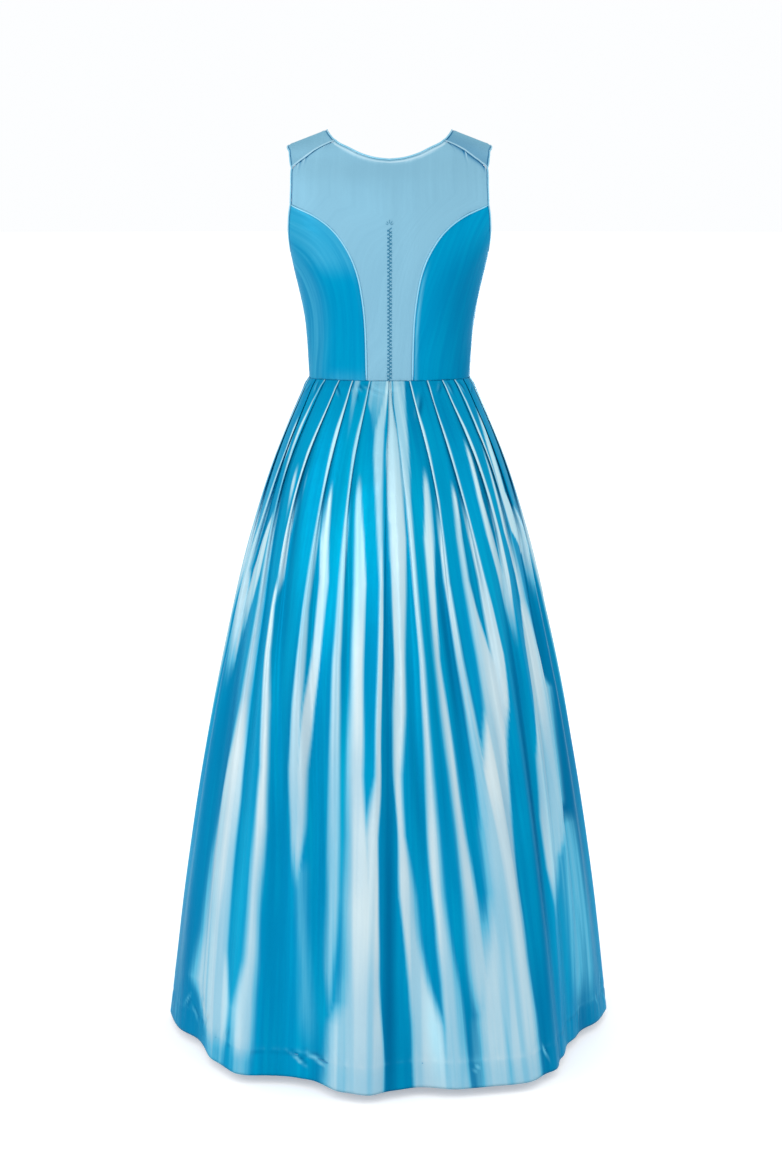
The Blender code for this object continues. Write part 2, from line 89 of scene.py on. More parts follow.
# %% Sections and seams of the bodice
WAIST_HEIGHT = -0.390
HEM_HEIGHT = -1.460
BODY_SQUARENESS = 2.25  # 2 is an ellipse, more is squarer
SEAM_GAP = 0.0003
PIPING_RADIUS = 0.0014
BACK, FRONT = 1, -1


def rows_of(kind, *rows):
    """A table whose rows all have the same named fields."""
    return [kind(*row) for row in rows]


Section = namedtuple("Section", "height half_width back_depth front_depth")
FIGURE = rows_of(
    Section, (WAIST_HEIGHT, 0.1286, 0.08, 0.105), (-0.35, 0.1303, 0.0825, 0.107), (-0.3, 0.1346, 0.0885, 0.113),
    (-0.25, 0.1438, 0.096, 0.123), (-0.219, 0.1512, 0.1005, 0.124), (-0.185, 0.159, 0.104, 0.119),
    (-0.15, 0.17, 0.105, 0.111), (-0.11, 0.181, 0.101, 0.1), (-0.075, 0.185, 0.092, 0.086),
    (-0.045, 0.1755, 0.079, 0.07), (-0.0225, 0.158, 0.0715, 0.062), (-0.012, 0.132, 0.0655, 0.056),
    (0, 0.1005, 0.06, 0.051),
)
BUST_OFFSET, BUST_HEIGHT, BUST_DEPTH = 0.0780, -0.2520, 0.0150
BUST_SPREAD, BUST_RISE = 0.0460, 0.0520

Mark = namedtuple("Mark", "offset height")
BACK_PANEL_SEAM = rows_of(
    Mark, (0.0362, WAIST_HEIGHT), (0.038, -0.31), (0.0425, -0.262), (0.051, -0.22), (0.066, -0.185),
    (0.0889, -0.154), (0.119, -0.132), (0.154, -0.116),
)
FRONT_PANEL_SEAM = rows_of(
    Mark, (0.052, WAIST_HEIGHT), (0.056, -0.34), (0.069, -0.295), (0.081, -0.25), (0.091, -0.205), (0.108, -0.16),
    (0.127, -0.129), (0.1435, -0.113),
)
BACK_NECKLINE = rows_of(  # from the centre back out to the yoke seam
    Mark, (0, -0.0475), (0.024, -0.0448), (0.046, -0.0382), (0.067, -0.028), (0.085, -0.0175),
)
BACK_ARMHOLE = rows_of(  # from the panel seam up to the yoke seam
    Mark, (0.154, -0.116), (0.1527, -0.085), (0.1515, -0.0584),
)

Strap = namedtuple("Strap", "neck_offset neck_height arm_offset arm_height face")
SHOULDER_STRAP = rows_of(  # up the front, over the shoulder line at height 0 and down to the yoke seam
    Strap, (0, -0.15, 0.1435, -0.113, FRONT), (0.031, -0.145, 0.1427, -0.1, FRONT),
    (0.057, -0.13, 0.1425, -0.088, FRONT), (0.075, -0.105, 0.1432, -0.074, FRONT),
    (0.085, -0.075, 0.1455, -0.06, FRONT), (0.091, -0.043, 0.149, -0.048, FRONT),
    (0.0955, -0.017, 0.1535, -0.037, FRONT), (0.0985, -0.005, 0.1565, -0.0285, FRONT),
    (0.1005, 0, 0.158, -0.0225, BACK), (0.0988, -0.0025, 0.1572, -0.03, BACK),
    (0.0945, -0.0085, 0.155, -0.0415, BACK), (0.085, -0.0175, 0.1515, -0.0584, BACK),
)

Dip = namedtuple("Dip", "turn height")
ARMPIT_HEIGHT = -0.1920
BACK_ARMHOLE_DIP = (Dip(7.0, -0.1880), Dip(14.5, -0.1720), Dip(23.5, -0.1470))
FRONT_ARMHOLE_DIP = (Dip(-8.0, -0.1880), Dip(-19.0, -0.1700), Dip(-31.0, -0.1430))

# %% [markdown]
# ## Points on the figure
#
# A seam is drawn by eye on the front or the back of a dress form. Here a mark becomes an angle round the
# figure and a height, and from those two numbers come the points in space, so that a panel can be worked
# out flat, as (angle, height), and then laid on the body.


# %% From marks to the figure
def smooth(stations, values, at):
    """Values at the places asked for, on a cubic curve through the stations, which rise."""
    stations, values = np.asarray(stations, float), np.asarray(values, float)
    at = np.clip(at, stations[0], stations[-1])
    slopes = np.gradient(values, stations)
    first = np.clip(np.searchsorted(stations, at, side="right") - 1, 0, len(stations) - 2)
    width = stations[first + 1] - stations[first]
    t = (at - stations[first]) / width
    start = (1 + 2 * t) * (1 - t) ** 2 * values[first] + t * (1 - t) ** 2 * width * slopes[first]
    end = t**2 * (3 - 2 * t) * values[first + 1] + t**2 * (t - 1) * width * slopes[first + 1]
    return start + end


def column(rows, name):
    return [getattr(row, name) for row in rows]


def section_at(sections, height):
    """Half width, back depth and front depth at each height, over the cloth."""
    heights = column(sections, "height")
    return [smooth(heights, column(sections, name), height) for name in Section._fields[1:]]


def on_ring(half_width, back_depth, front_depth, angle, squareness):
    """x and y on a level section. The angle is 0 at the wearer's left and 90 degrees at the centre back."""
    c, s = np.cos(angle), np.sin(angle)
    depth = np.where(s >= 0, back_depth, front_depth)
    x = half_width * np.sign(c) * np.abs(c) ** (2 / squareness)
    y = depth * np.sign(s) * np.abs(s) ** (2 / squareness)
    return x, y


def on_figure(places):
    """Points in space of places given as (angle, height) on the figure."""
    angle, height = places[..., 0], places[..., 1]
    x, y = on_ring(*section_at(FIGURE, height), angle, BODY_SQUARENESS)
    across = (np.abs(x) - BUST_OFFSET) / BUST_SPREAD
    up = (height - BUST_HEIGHT) / BUST_RISE
    facing = np.clip(-2 * np.sin(angle), 0, 1)
    y = y - BUST_DEPTH * facing * np.exp(-(across**2) - up**2)
    return np.stack([x, y, height], axis=-1)


def place(offset, height, face):
    """The (angle, height) of a mark this far from the centre line, on the back or the front."""
    half_width = section_at(FIGURE, height)[0]
    share = min(offset / float(half_width), 1.0)
    return face * math.acos(share ** (BODY_SQUARENESS / 2)), height


def places(marks, face):
    return np.array([place(mark.offset, mark.height, face) for mark in marks])


def dip_places(dips):
    return np.array([(math.radians(dip.turn), dip.height) for dip in dips])


print("at the side of the waist:", np.round(on_figure(np.array((0.0, WAIST_HEIGHT))), 3))

# %% [markdown]
# ## From edges to a panel
#
# A panel is cut between its seams. So its four edges are drawn first, each sampled once, and a grid is
# stretched between them. Two panels that share a seam then meet along the same line.


# %% Edges and patches
def along(points, steps):
    """Points on a smooth line through the given ones. steps is a number of steps, or their stations."""
    stations = np.arange(len(points))
    at = np.linspace(0, len(points) - 1, steps + 1) if isinstance(steps, int) else np.array(steps)
    return np.stack([smooth(stations, points[:, axis], at) for axis in range(points.shape[1])], axis=-1)


def patch(bottom, top, left, right):
    """A grid of points between four edges: bottom and top from left to right, left and right upwards."""
    across = np.linspace(0, 1, len(bottom))[None, :, None]
    up = np.linspace(0, 1, len(left))[:, None, None]
    between_rows = (1 - up) * bottom[None] + up * top[None]
    between_columns = (1 - across) * left[:, None] + across * right[:, None]
    low = (1 - across) * bottom[0] + across * bottom[-1]
    high = (1 - across) * top[0] + across * top[-1]
    return between_rows + between_columns - (1 - up) * low - up * high


def unit(vectors):
    return vectors / np.linalg.norm(vectors, axis=-1, keepdims=True)


def course(line):
    """The direction of a line of points at each of them."""
    steps = unit(np.diff(line, axis=0))
    return unit(np.concatenate([steps[:1], steps[:-1] + steps[1:], steps[-1:]]))


def joined(*edges):
    """One edge from several that follow on, without the points that they share."""
    return np.concatenate([edges[0]] + [edge[1:] for edge in edges[1:]])


def straight(start, end, steps):
    """A straight row of places between two."""
    share = np.linspace(0, 1, steps + 1)[:, None]
    return (1 - share) * np.asarray(start) + share * np.asarray(end)


def finer(stations, times):
    """The stations with each step between two of them cut into as many."""
    return np.interp(np.arange(times * (len(stations) - 1) + 1) / times, np.arange(len(stations)), stations)


FINENESS = 6  # how many steps there are here for one of the solid's
SEAM_ROWS = 9 * FINENESS
ARMHOLE_ROWS = 3 * FINENESS
DIP_COLUMNS = 6 * FINENESS
OPENING_ROWS = 6 * FINENESS
YOKE_COLUMNS = 5 * FINENESS
HALF_NECK_COLUMNS = 5 * FINENESS
STRAP_ARM_STATIONS = finer(range(12), FINENESS)
STRAP_NECK_STATIONS = finer((0, 0.5, 1, 1.5, 2, 2.5, 3, 4, 5, 6, 7, 8, 9, 10, 11), FINENESS)

strap_neck = np.array([place(s.neck_offset, s.neck_height, s.face) for s in SHOULDER_STRAP])
strap_arm = np.array([place(s.arm_offset, s.arm_height, s.face) for s in SHOULDER_STRAP])
back_top = places(BACK_PANEL_SEAM, BACK)[-1:]
front_top = places(FRONT_PANEL_SEAM, FRONT)[-1:]
armpit = np.array([(0.0, ARMPIT_HEIGHT)])
edges = {
    "back_seam": along(places(BACK_PANEL_SEAM, BACK), SEAM_ROWS),
    "front_seam": along(places(FRONT_PANEL_SEAM, FRONT), SEAM_ROWS),
    "back_armhole": along(places(BACK_ARMHOLE, BACK), ARMHOLE_ROWS),
    "back_dip": along(np.concatenate([armpit, dip_places(BACK_ARMHOLE_DIP), back_top]), DIP_COLUMNS),
    "front_dip": along(np.concatenate([armpit, dip_places(FRONT_ARMHOLE_DIP), front_top]), DIP_COLUMNS),
    "back_neck": along(places(BACK_NECKLINE, BACK), HALF_NECK_COLUMNS),
    "strap_neck": along(strap_neck, STRAP_NECK_STATIONS),
    "strap_arm": along(strap_arm, STRAP_ARM_STATIONS),
}
edges["yoke"] = straight(edges["strap_neck"][-1], edges["strap_arm"][-1], YOKE_COLUMNS)
edges["side"] = straight((0.0, WAIST_HEIGHT), armpit[0], SEAM_ROWS)
for name, edge in edges.items():
    length = np.linalg.norm(np.diff(on_figure(edge), axis=0), axis=-1).sum()
    print(f"{name}: {100 * length:.1f} cm")

# %% [markdown]
# ## Shader maths in plain expressions
#
# A node tree is arithmetic drawn as boxes. This small class wraps a socket, so that `1 - hollow * 0.5`
# adds the Math nodes itself. Colours go through Mix nodes, because a Math node would turn them grey.


# %% A socket that can be reckoned with
class Value:
    def __init__(self, tree, socket):
        self.tree, self.socket = tree, socket

    def math(self, operation, *operands):
        node = self.tree.nodes.new("ShaderNodeMath")
        node.operation = operation
        for number, operand in enumerate(operands):
            if isinstance(operand, Value):
                self.tree.links.new(operand.socket, node.inputs[number])
            else:
                node.inputs[number].default_value = operand
        return Value(self.tree, node.outputs[0])

    def __add__(self, other):
        return self.math("ADD", self, other)

    def __sub__(self, other):
        return self.math("SUBTRACT", self, other)

    def __rsub__(self, other):
        return self.math("SUBTRACT", other, self)

    def __mul__(self, other):
        return self.math("MULTIPLY", self, other)

    __radd__, __rmul__ = __add__, __mul__

    def within(self, low=0.0, high=1.0):
        return self.math("MINIMUM", self.math("MAXIMUM", self, low), high)


class Finish:
    """A material and its nodes."""

    def __init__(self, name):
        self.material = bpy.data.materials.new(name)
        self.material.use_nodes = True
        self.tree = self.material.node_tree
        self.shader = self.tree.nodes["Principled BSDF"]

    def node(self, kind, settings=(), sockets=(), result=0):
        """One node: its settings first, then the values or links of its sockets, by name or number."""
        node = self.tree.nodes.new(kind)
        for key, value in dict(settings).items():
            setattr(node, key, value)
        for key, value in dict(sockets).items():
            if isinstance(value, Value):
                self.tree.links.new(value.socket, node.inputs[key])
            else:
                node.inputs[key].default_value = value
        return Value(self.tree, node.outputs[result])

    def attribute(self, name):
        return self.node("ShaderNodeAttribute", {"attribute_name": name}, result="Fac")

    def mix(self, share, first, second):
        """Goes from the first colour to the second."""
        return self.node("ShaderNodeMix", {"data_type": "RGBA"}, {0: share, 6: first, 7: second}, result=2)

    def noise(self, across, along, detail=2.0, shift=0.0):
        """Soft unevenness on the cloth, with so many patches a metre across it and along it."""
        cloth = self.node("ShaderNodeUVMap", {"uv_map": "cloth"})
        grown = self.node(
            "ShaderNodeMapping", {}, {0: cloth, "Scale": (across, along, 1.0), "Location": (shift, shift, 0.0)}
        )
        return self.node("ShaderNodeTexNoise", {}, {"Vector": grown, "Scale": 1.0, "Detail": detail})

    def set(self, **values):
        """Sets or links the shader's own sockets."""
        for key, value in values.items():
            socket = self.shader.inputs[key.replace("_", " ").title().replace("Ior", "IOR")]
            if isinstance(value, Value):
                self.tree.links.new(value.socket, socket)
            else:
                socket.default_value = value

    def bump(self, height, distance, under=None):
        """A relief of this height in metres, on top of the one under it."""
        sockets = {"Height": height, "Distance": distance}
        if under is not None:
            sockets["Normal"] = under
        return self.node("ShaderNodeBump", {}, sockets)


# %% [markdown]
# ## The satin
#
# Satin shines because its threads lie in long floats with few crossings. Where the floats face the light
# the blue pales to almost white, in the hollows it is deep and strong, and there is little between. Here
# that light and shade is painted into the colour. The folds are made here, and each of them knows where its
# crest and its hollow lie, so a mesh carries values for its points: "painted_highlight" on crests and
# flutes, "painted_shade" in the hollows and, on the skirt, "painted_light" where the blue is painted lighter
# and cleaner. The satin is mixed from seven blues by them, and noise that follows the threads streaks it.
# Part of the shine is metallic, which keeps the lamps' reflections blue.

# %% Satin
MIDDLE_REACHED = 0.16  # the share of a painted highlight at which the middle blue gives way to the pale ones


def blue(red, green, blue_):
    """A colour given as on a screen, from 0 to 255, in the linear values that shaders use."""
    channels = [value / 255 for value in (red, green, blue_)]
    return tuple(c / 12.92 if c < 0.04045 else ((c + 0.055) / 1.055) ** 2.4 for c in channels) + (1.0,)


def satin(name, blues, roughness, metallic):
    """Satin of seven blues: body, deep for painted shade, bright for painted light, and middle, pale, pale blue and
    icy for painted highlights.
    """
    finish = Finish(name)
    body, deep, bright, middle, pale, pale_blue, icy = (blue(*channels) for channels in blues)
    painted_highlight, painted_shade, painted_light = (finish.attribute(key) for key in ("painted_highlight", "painted_shade", "painted_light"))
    streaks = finish.noise(120, 4, detail=3.0)
    clouds = finish.noise(9, 5, detail=1.0, shift=3.0)
    # between the painted highlights: body to bright by random streaks and painted light, then deep as painted shade
    brightness = ((streaks - 0.5) + (clouds - 0.5) * 0.9 + painted_light * 0.8 + 0.15).within()
    color = finish.mix(brightness, body, bright)
    color = finish.mix(painted_shade, color, deep)
    # within the painted highlights: pale to pale blue in clouds, icy where painted light is added
    uneven_pale = finish.mix(((clouds - 0.5) * 1.6 + (streaks - 0.5) * 1.2 + 0.35).within(), pale, pale_blue)
    uneven_pale = finish.mix((painted_light * 1.6).within(), uneven_pale, icy)
    # faint bands along the threads dull a painted highlight, and its edges are streaked the most
    bands = finish.noise(36, 1.4, detail=1.0, shift=7.0)
    dulled = painted_highlight - painted_highlight * ((bands - 0.48) * 2.2).within(0.0, 0.30)
    streaked = (dulled + (streaks - 0.5) * painted_highlight * (1 - painted_highlight) * 1.6).within()
    steeper = streaked * streaked * (3.0 - 2.0 * streaked)
    color = finish.mix((steeper * 6.0).within(), color, middle)
    color = finish.mix(((steeper - MIDDLE_REACHED) * 1.19).within(), color, uneven_pale)
    # a slight crumple with the weave's floats on top
    crumple = finish.noise(70, 45, detail=3.0, shift=1.0)
    floats = finish.noise(500, 5200, detail=1.0)
    relief = finish.bump(floats, 0.00006, under=finish.bump(crumple, 0.0005))
    finish.set(
        base_color=color,
        metallic=metallic,
        specular_ior_level=0.02,
        specular_tint=(0.12, 0.80, 1.0, 1.0),
        roughness=(crumple - 0.5) * 0.10 + roughness,
        normal=relief,
        anisotropic=0.4,
    )
    return finish.material


# body, deep for painted shade, bright for painted light, then middle, pale, pale blue and icy for the painted
# highlights
STRONG_BLUES = (
    (0, 130, 175), (0, 84, 130), (0, 160, 197), (82, 166, 196), (202, 213, 214), (152, 184, 200), (186, 228, 238),
)
# the same satin in paler blues, as painted sheen on the cloth that faces the light: the centre back, the front
# panels and the straps
PAINTED_SHEEN_BLUES = (
    (122, 170, 192), (0, 104, 152), (132, 181, 202), (150, 190, 208), (180, 208, 220), (170, 202, 216),
    (180, 208, 220),
)
satin_blue = satin("blue_satin", STRONG_BLUES, roughness=0.34, metallic=0.36)
satin_painted_sheen = satin("painted_sheen_satin", PAINTED_SHEEN_BLUES, roughness=0.44, metallic=0.2)
print("satins:", satin_blue.name, satin_painted_sheen.name)

# %% [markdown]
# ## The dull side, the cord and the thread
#
# The wrong side of satin has none of the shine, and it shows inside the neck and the armholes. Piping is a
# cord in a strip of the satin cut on the bias, so its fine twist runs slantwise. The hand stitches are a
# thicker, darker silk twist.

# %% Reverse, piping and thread
reverse = Finish("satin_wrong_side")
grain = reverse.noise(900, 900)
reverse.set(
    base_color=reverse.mix((grain - 0.5) * 0.8 + 0.5, blue(30, 120, 165), blue(60, 150, 190)),
    roughness=0.75,
    normal=reverse.bump(grain, 0.0001),
)

cord_satin = Finish("satin_over_cord")
twist = cord_satin.noise(300, 900)
edge_shade = cord_satin.attribute("painted_shade")
# the pale crown is painted sheen, and the painted shade at the foot mixes in a deep blue
cord_satin.set(
    base_color=cord_satin.mix(edge_shade, blue(132, 194, 218), blue(0, 96, 146)),
    metallic=0.4,
    roughness=0.34,
    specular_ior_level=0.4,
    normal=cord_satin.bump(twist, 0.00015),
)

thread = Finish("silk_twist")
strands = thread.noise(2500, 500)
thread.set(
    base_color=thread.mix(strands, blue(0, 92, 128), blue(6, 122, 156)),
    roughness=0.5,
    normal=thread.bump(strands, 0.0001),
)

# %% [markdown]
# ## Turning a grid of points into cloth
#
# Each panel is a grid of points on the outside of the cloth, moved out or in by its relief. The Solidify
# modifier then gives it a thickness, and puts the dull side on the inner face. Where the points lie on the
# flat cloth is kept as a UV map in metres, so that the weave has one scale everywhere.

# %% Meshes from grids
SHEET_THICKNESS = 0.0007
root = "root"  # cloth has no joints, so every piece rides on the one body


def away_from(points):
    """The outward direction at each point of a grid whose columns run clockwise as seen from above."""
    across, up = np.gradient(points, axis=1), np.gradient(points, axis=0)
    return unit(np.cross(up, across))


def measured(points):
    """How far each point is, over the cloth, from the left edge and from the bottom edge of its grid."""
    across = np.linalg.norm(np.diff(points, axis=1), axis=-1).cumsum(axis=1)
    up = np.linalg.norm(np.diff(points, axis=0), axis=-1).cumsum(axis=0)
    return np.pad(across, ((0, 0), (1, 0))), np.pad(up, ((1, 0), (0, 0)))


def faces_of_grid(rows, columns, closed=False):
    index = np.arange(rows * columns).reshape(rows, columns)
    if closed:
        index = np.column_stack([index, index[:, 0]])
    corners = (index[:-1, :-1], index[1:, :-1], index[1:, 1:], index[:-1, 1:])
    return np.stack([corner.ravel() for corner in corners], axis=-1)


def add_mesh(name, points, faces, material, values, flat):
    """A mesh in the scene with values for its points and with its flat lie as a UV map."""
    mesh = bpy.data.meshes.new(name)
    mesh.from_pydata(points.reshape(-1, 3).tolist(), [], faces.tolist())
    mesh.shade_smooth()
    for key, value in values.items():
        layer = mesh.attributes.new(key, "FLOAT", "POINT")
        layer.data.foreach_set("value", np.clip(value, 0, 1).ravel().astype(np.float32))
    lie = mesh.uv_layers.new(name="cloth")
    corners = np.empty(len(mesh.loops), np.int32)
    mesh.loops.foreach_get("vertex_index", corners)
    lie.data.foreach_set("uv", flat.reshape(-1, 2)[corners].ravel().astype(np.float32))
    mesh.materials.append(material)
    return put_in_scene(name, mesh)


def add_cloth(name, points, out, values, material, node, straight_grain=False):
    """A sheet of cloth in place of its solid, with its relief given as distances outwards."""
    across, up = measured(points)
    if straight_grain:  # the threads run down the columns, so the bottom row tells their places
        across = across[:1] + 0 * up
    flat = np.stack([across, up], axis=-1)
    moved = points + out[..., None] * away_from(points)
    piece = add_mesh(name, moved, faces_of_grid(*points.shape[:2]), material, values, flat)
    piece.data.materials.append(reverse.material)
    wall = piece.modifiers.new("thickness", "SOLIDIFY")
    wall.thickness = SHEET_THICKNESS
    wall.offset = -1.0
    wall.material_offset = 1
    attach(piece, root)
    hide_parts(node)
    width, length = flat[..., 0].max(), flat[..., 1].max()
    area = sum(face.area for face in piece.data.polygons)
    print(f"{name}: {len(piece.data.polygons)} faces, up to {width:.2f} x {length:.2f} m, {area:.4f} m2")


def bell(x):
    """1 at nothing, and down to almost nothing at 2 either way."""
    return np.exp(-(x**2))


def ramp(x):
    """0 below 0, 1 above 1, and smooth between."""
    x = np.clip(x, 0, 1)
    return x * x * (3 - 2 * x)


def uneven(x, seed=0.0):
    """A wave of about one step's length that never repeats itself quite, between -1 and 1."""
    waves = np.sin(6.283 * x + seed) + 0.7 * np.sin(3.98 * x + 2.1 * seed) + 0.5 * np.sin(9.7 * x + 3.3 * seed)
    return waves / 2.2


# %% [markdown]
# ## How a seam lies
#
# Two panels are stitched right sides together and pressed open. The cloth dips into the seam, swells a
# little beside it where the allowance lies underneath, and draws up in small puckers, because satin is
# slippery and the thread is tighter than the cloth. A panel's own grid is too wide for this, so extra
# lines are put in close to its edges.

# %% Seams
EDGE_LINES = (0.10, 0.22, 0.36, 0.52, 0.74)  # shares of the first step in from an edge
SEAM_DIP, SEAM_WIDTH = 0.0006, 0.0014
SEAM_SWELL, SWELL_AT, SWELL_WIDTH = 0.0004, 0.0050, 0.0026
PUCKER_HEIGHT, PUCKER_PITCH, PUCKER_REACH = 0.00022, 0.0115, 0.0100
WAIST_PUCKERS, WAIST_RELIEF, WAIST_SHADE = 0.5, 0.2, 0.1  # the waist seam is pressed flatter


def closer_at_edges(grid):
    """The grid with extra rows and columns near its four edges."""
    for axis in (0, 1):
        count = grid.shape[axis]
        near = np.array(EDGE_LINES)
        at = np.concatenate([[0], near, np.arange(1, count - 1), count - 1 - near[::-1], [count - 1]])
        low = np.minimum(at.astype(int), count - 2)
        share = (at - low).reshape((-1, 1, 1) if axis == 0 else (1, -1, 1))
        grid = np.take(grid, low, axis=axis) * (1 - share) + np.take(grid, low + 1, axis=axis) * share
    return grid


def seam_relief(distance, run, seed, puckers=1.0):
    """How far out the cloth lies at this distance from a seam, and how deep the shade painted into the seam is."""
    pucker = puckers * PUCKER_HEIGHT * uneven(run / PUCKER_PITCH, seed) * bell(distance / PUCKER_REACH)
    swell = SEAM_SWELL * bell((distance - SWELL_AT) / SWELL_WIDTH)
    return pucker + swell - SEAM_DIP * bell(distance / SEAM_WIDTH), 0.9 * bell(distance / SEAM_WIDTH)


def panel_relief(across, up, seed, waist_seed, puckers=1.0):
    """Relief and painted shade of a panel with a seam on either side and the waist seam below."""
    out, painted_shade = seam_relief(np.minimum(across, across[:, -1:] - across), up, seed, puckers)
    waist_out, waist_painted_shade = seam_relief(up, across, waist_seed, WAIST_PUCKERS)
    return out + WAIST_RELIEF * waist_out, painted_shade + WAIST_SHADE * waist_painted_shade


def both_sides(name):
    return ((f"{name}_left", 1), (f"{name}_right", -1))


def mirrored(points, side):
    """The points as they are for the wearer's left, or mirrored for the right."""
    return points if side > 0 else (points * (-1, 1, 1))[:, ::-1]


# %% [markdown]
# ## The centre back
#
# The centre back is one piece of satin without a seam, wide at the shoulders and narrow at the waist, in the
# paler blues of the painted sheen. Its neck edge is understitched, which rolls it, and a fine light line is
# painted beside the piping as the roll's highlight. At the top corners it goes under the yoke seam, and there
# it is eased in with a few short tucks, deeper on the right, with painted shadow under the seam and in the
# tucks and a painted highlight beside each tuck.

# %% Centre back
Tuck = namedtuple("Tuck", "along length depth")
YOKE_TUCKS = {
    1: (Tuck(0.07, 0.011, 0.0011), Tuck(0.16, 0.007, 0.0006), Tuck(0.66, 0.010, 0.0006), Tuck(0.80, 0.013, 0.0009)),
    -1: (Tuck(0.12, 0.012, 0.0008), Tuck(0.45, 0.016, 0.0006), Tuck(0.92, 0.011, 0.0008)),
}
YOKE_SHADE = {1: 0.0022, -1: 0.0060}  # how far the painted shadow under the yoke seam reaches

outer = joined(edges["back_seam"], edges["back_armhole"])
top = joined(edges["back_neck"], edges["yoke"])
inner = straight((math.pi / 2, WAIST_HEIGHT), edges["back_neck"][0], len(outer) - 1)
half = patch(straight(inner[0], outer[0], len(top) - 1), top, inner, outer)
other_half = np.stack([math.pi - half[..., 0], half[..., 1]], axis=-1)[:, ::-1]
grid = closer_at_edges(np.concatenate([other_half, half[:, 1:]], axis=1))
points = on_figure(grid)
across, up = measured(points)
from_top = up[-1:] - up
out, painted_shade = panel_relief(across, up, 0.0, 1.0)
neck_end = float(on_figure(edges["back_neck"][-1:])[0, 0])
in_neck = ramp((neck_end - np.abs(points[-1:, :, 0])) / 0.002)
out = out + in_neck * 0.0005 * bell((from_top - 0.0040) / 0.0022)
# painted highlight: the fine light line along the understitched roll
painted_highlight = in_neck * bell((from_top - 0.0034) / 0.0013)
yoke_run = np.abs(points[-1, :, 0]) - neck_end
yoke_share = yoke_run / yoke_run.max()
# painted shadow under the yoke seam, painted shade in the tucks and a painted highlight beside each
for wing, tucks in YOKE_TUCKS.items():
    on_wing = (np.sign(points[-1, :, 0]) == wing) & (yoke_run > 0)
    under = on_wing * bell(from_top / YOKE_SHADE[wing])
    out = out - 0.0009 * on_wing * bell(from_top / 0.0016)
    painted_shade = painted_shade + 0.85 * under
    for tuck in tucks:
        line = on_wing * bell((yoke_share - tuck.along) / 0.022) * bell(from_top / tuck.length)
        out = out - tuck.depth * line
        painted_shade = painted_shade + 0.5 * line
        painted_highlight = painted_highlight + 0.4 * on_wing * bell((yoke_share - tuck.along - 0.05) / 0.02) * bell(from_top / tuck.length)
out = out + 0.0007 * uneven(points[..., 0] / 0.055, 0.4) * ramp(from_top / 0.05) * ramp(up / 0.05)
values = {"painted_highlight": painted_highlight, "painted_shade": painted_shade}
add_cloth("centre_back_panel", points, out, values, satin_painted_sheen, "back_center")

# %% [markdown]
# ## The side panels
#
# Two panels on each side, back and front, meet in a side seam under the arm. They show the stronger blue,
# while the centre back and the front panels have the paler blues of the painted sheen. Towards the side
# seam their blue is painted deeper as shade, and on the wearer's left a little paler as sheen. Beside the
# piping the allowance under the cloth lifts it into a soft ridge, and a painted highlight on it stands for
# the light it catches, more on one side of the dress than the other.

# %% Side panels
# painted highlight on the ridge beside the piping, more on the wearer's right
PIPING_RIDGE_HIGHLIGHT = {1: 0.05, -1: 0.25}
OUTER_SHADE = {1: 0.32, -1: 0.50}  # painted shade: how much deeper the blue is painted towards the side seam
# painted sheen on the wearer's left: towards the side seam, under the arm and by the waist
OUTER_PAINTED_SHEEN = {1: 0.14, -1: 0.0}


def side_panel(name, grid, material, next_to_piping):
    grid = closer_at_edges(grid)
    left_side = on_figure(grid)
    for node, side in both_sides(name):
        points = mirrored(left_side, side)
        across, up = measured(points)
        from_seam = across if side > 0 else across[:, -1:] - across
        out, painted_shade = panel_relief(across, up, side, 2.0 + side)
        armhole = up[-1:] - up
        out = out - 0.0004 * bell(armhole / SEAM_WIDTH)
        out = out + 0.0008 * uneven(up / 0.12 + across / 0.09, side) * ramp(across / 0.02)
        outwards = ramp((from_seam - 0.010) / 0.080)
        pale = ramp((from_seam - 0.045) / 0.045)
        if not next_to_piping:  # the front panel carries on from the side seam and fades
            outwards, pale = 1 - outwards, 1 - ramp(from_seam / 0.045)
        # painted shade by the armhole edge and towards the side seam
        painted_shade = painted_shade + 0.5 * bell(armhole / 0.0020) + OUTER_SHADE[side] * outwards
        under_arm = ramp((points[..., 2] + 0.245) / 0.050)
        by_waist = 0.8 * (1 - ramp(up / 0.030))
        painted_highlight = OUTER_PAINTED_SHEEN[side] * np.maximum(np.maximum(pale, under_arm), by_waist)
        if next_to_piping:
            height = points[..., 2]
            low = ramp((-0.185 - height) / 0.06)
            painted_highlight = painted_highlight + PIPING_RIDGE_HIGHLIGHT[side] * low * bell((from_seam - 0.0055) / 0.0034)
            out = out + 0.0006 * low * bell((from_seam - 0.0075) / 0.0040)
        values = {"painted_highlight": painted_highlight, "painted_shade": painted_shade}
        add_cloth(node.replace(name, f"{name}_panel"), points, out, values, material, node)


bottom = straight(edges["back_seam"][0], edges["side"][0], DIP_COLUMNS)
side_panel(
    "back_side", patch(bottom, edges["back_dip"][::-1], edges["back_seam"], edges["side"]), satin_blue, True
)
bottom = straight(edges["side"][0], edges["front_seam"][0], DIP_COLUMNS)
side_panel(
    "front_side", patch(bottom, edges["front_dip"], edges["side"], edges["front_seam"]), satin_blue, False
)

# %% [markdown]
# ## The front panels
#
# Each front panel reaches from the waist over the bust, narrows to the shoulder and ends in the yoke seam
# on the back, where its pressed edge lies on top of the centre back. The two meet edge to edge at the
# centre front and hide the closing. They are in the paler blues of the painted sheen, with a painted
# highlight along the rolled yoke edge and, on the right, painted shade below it.

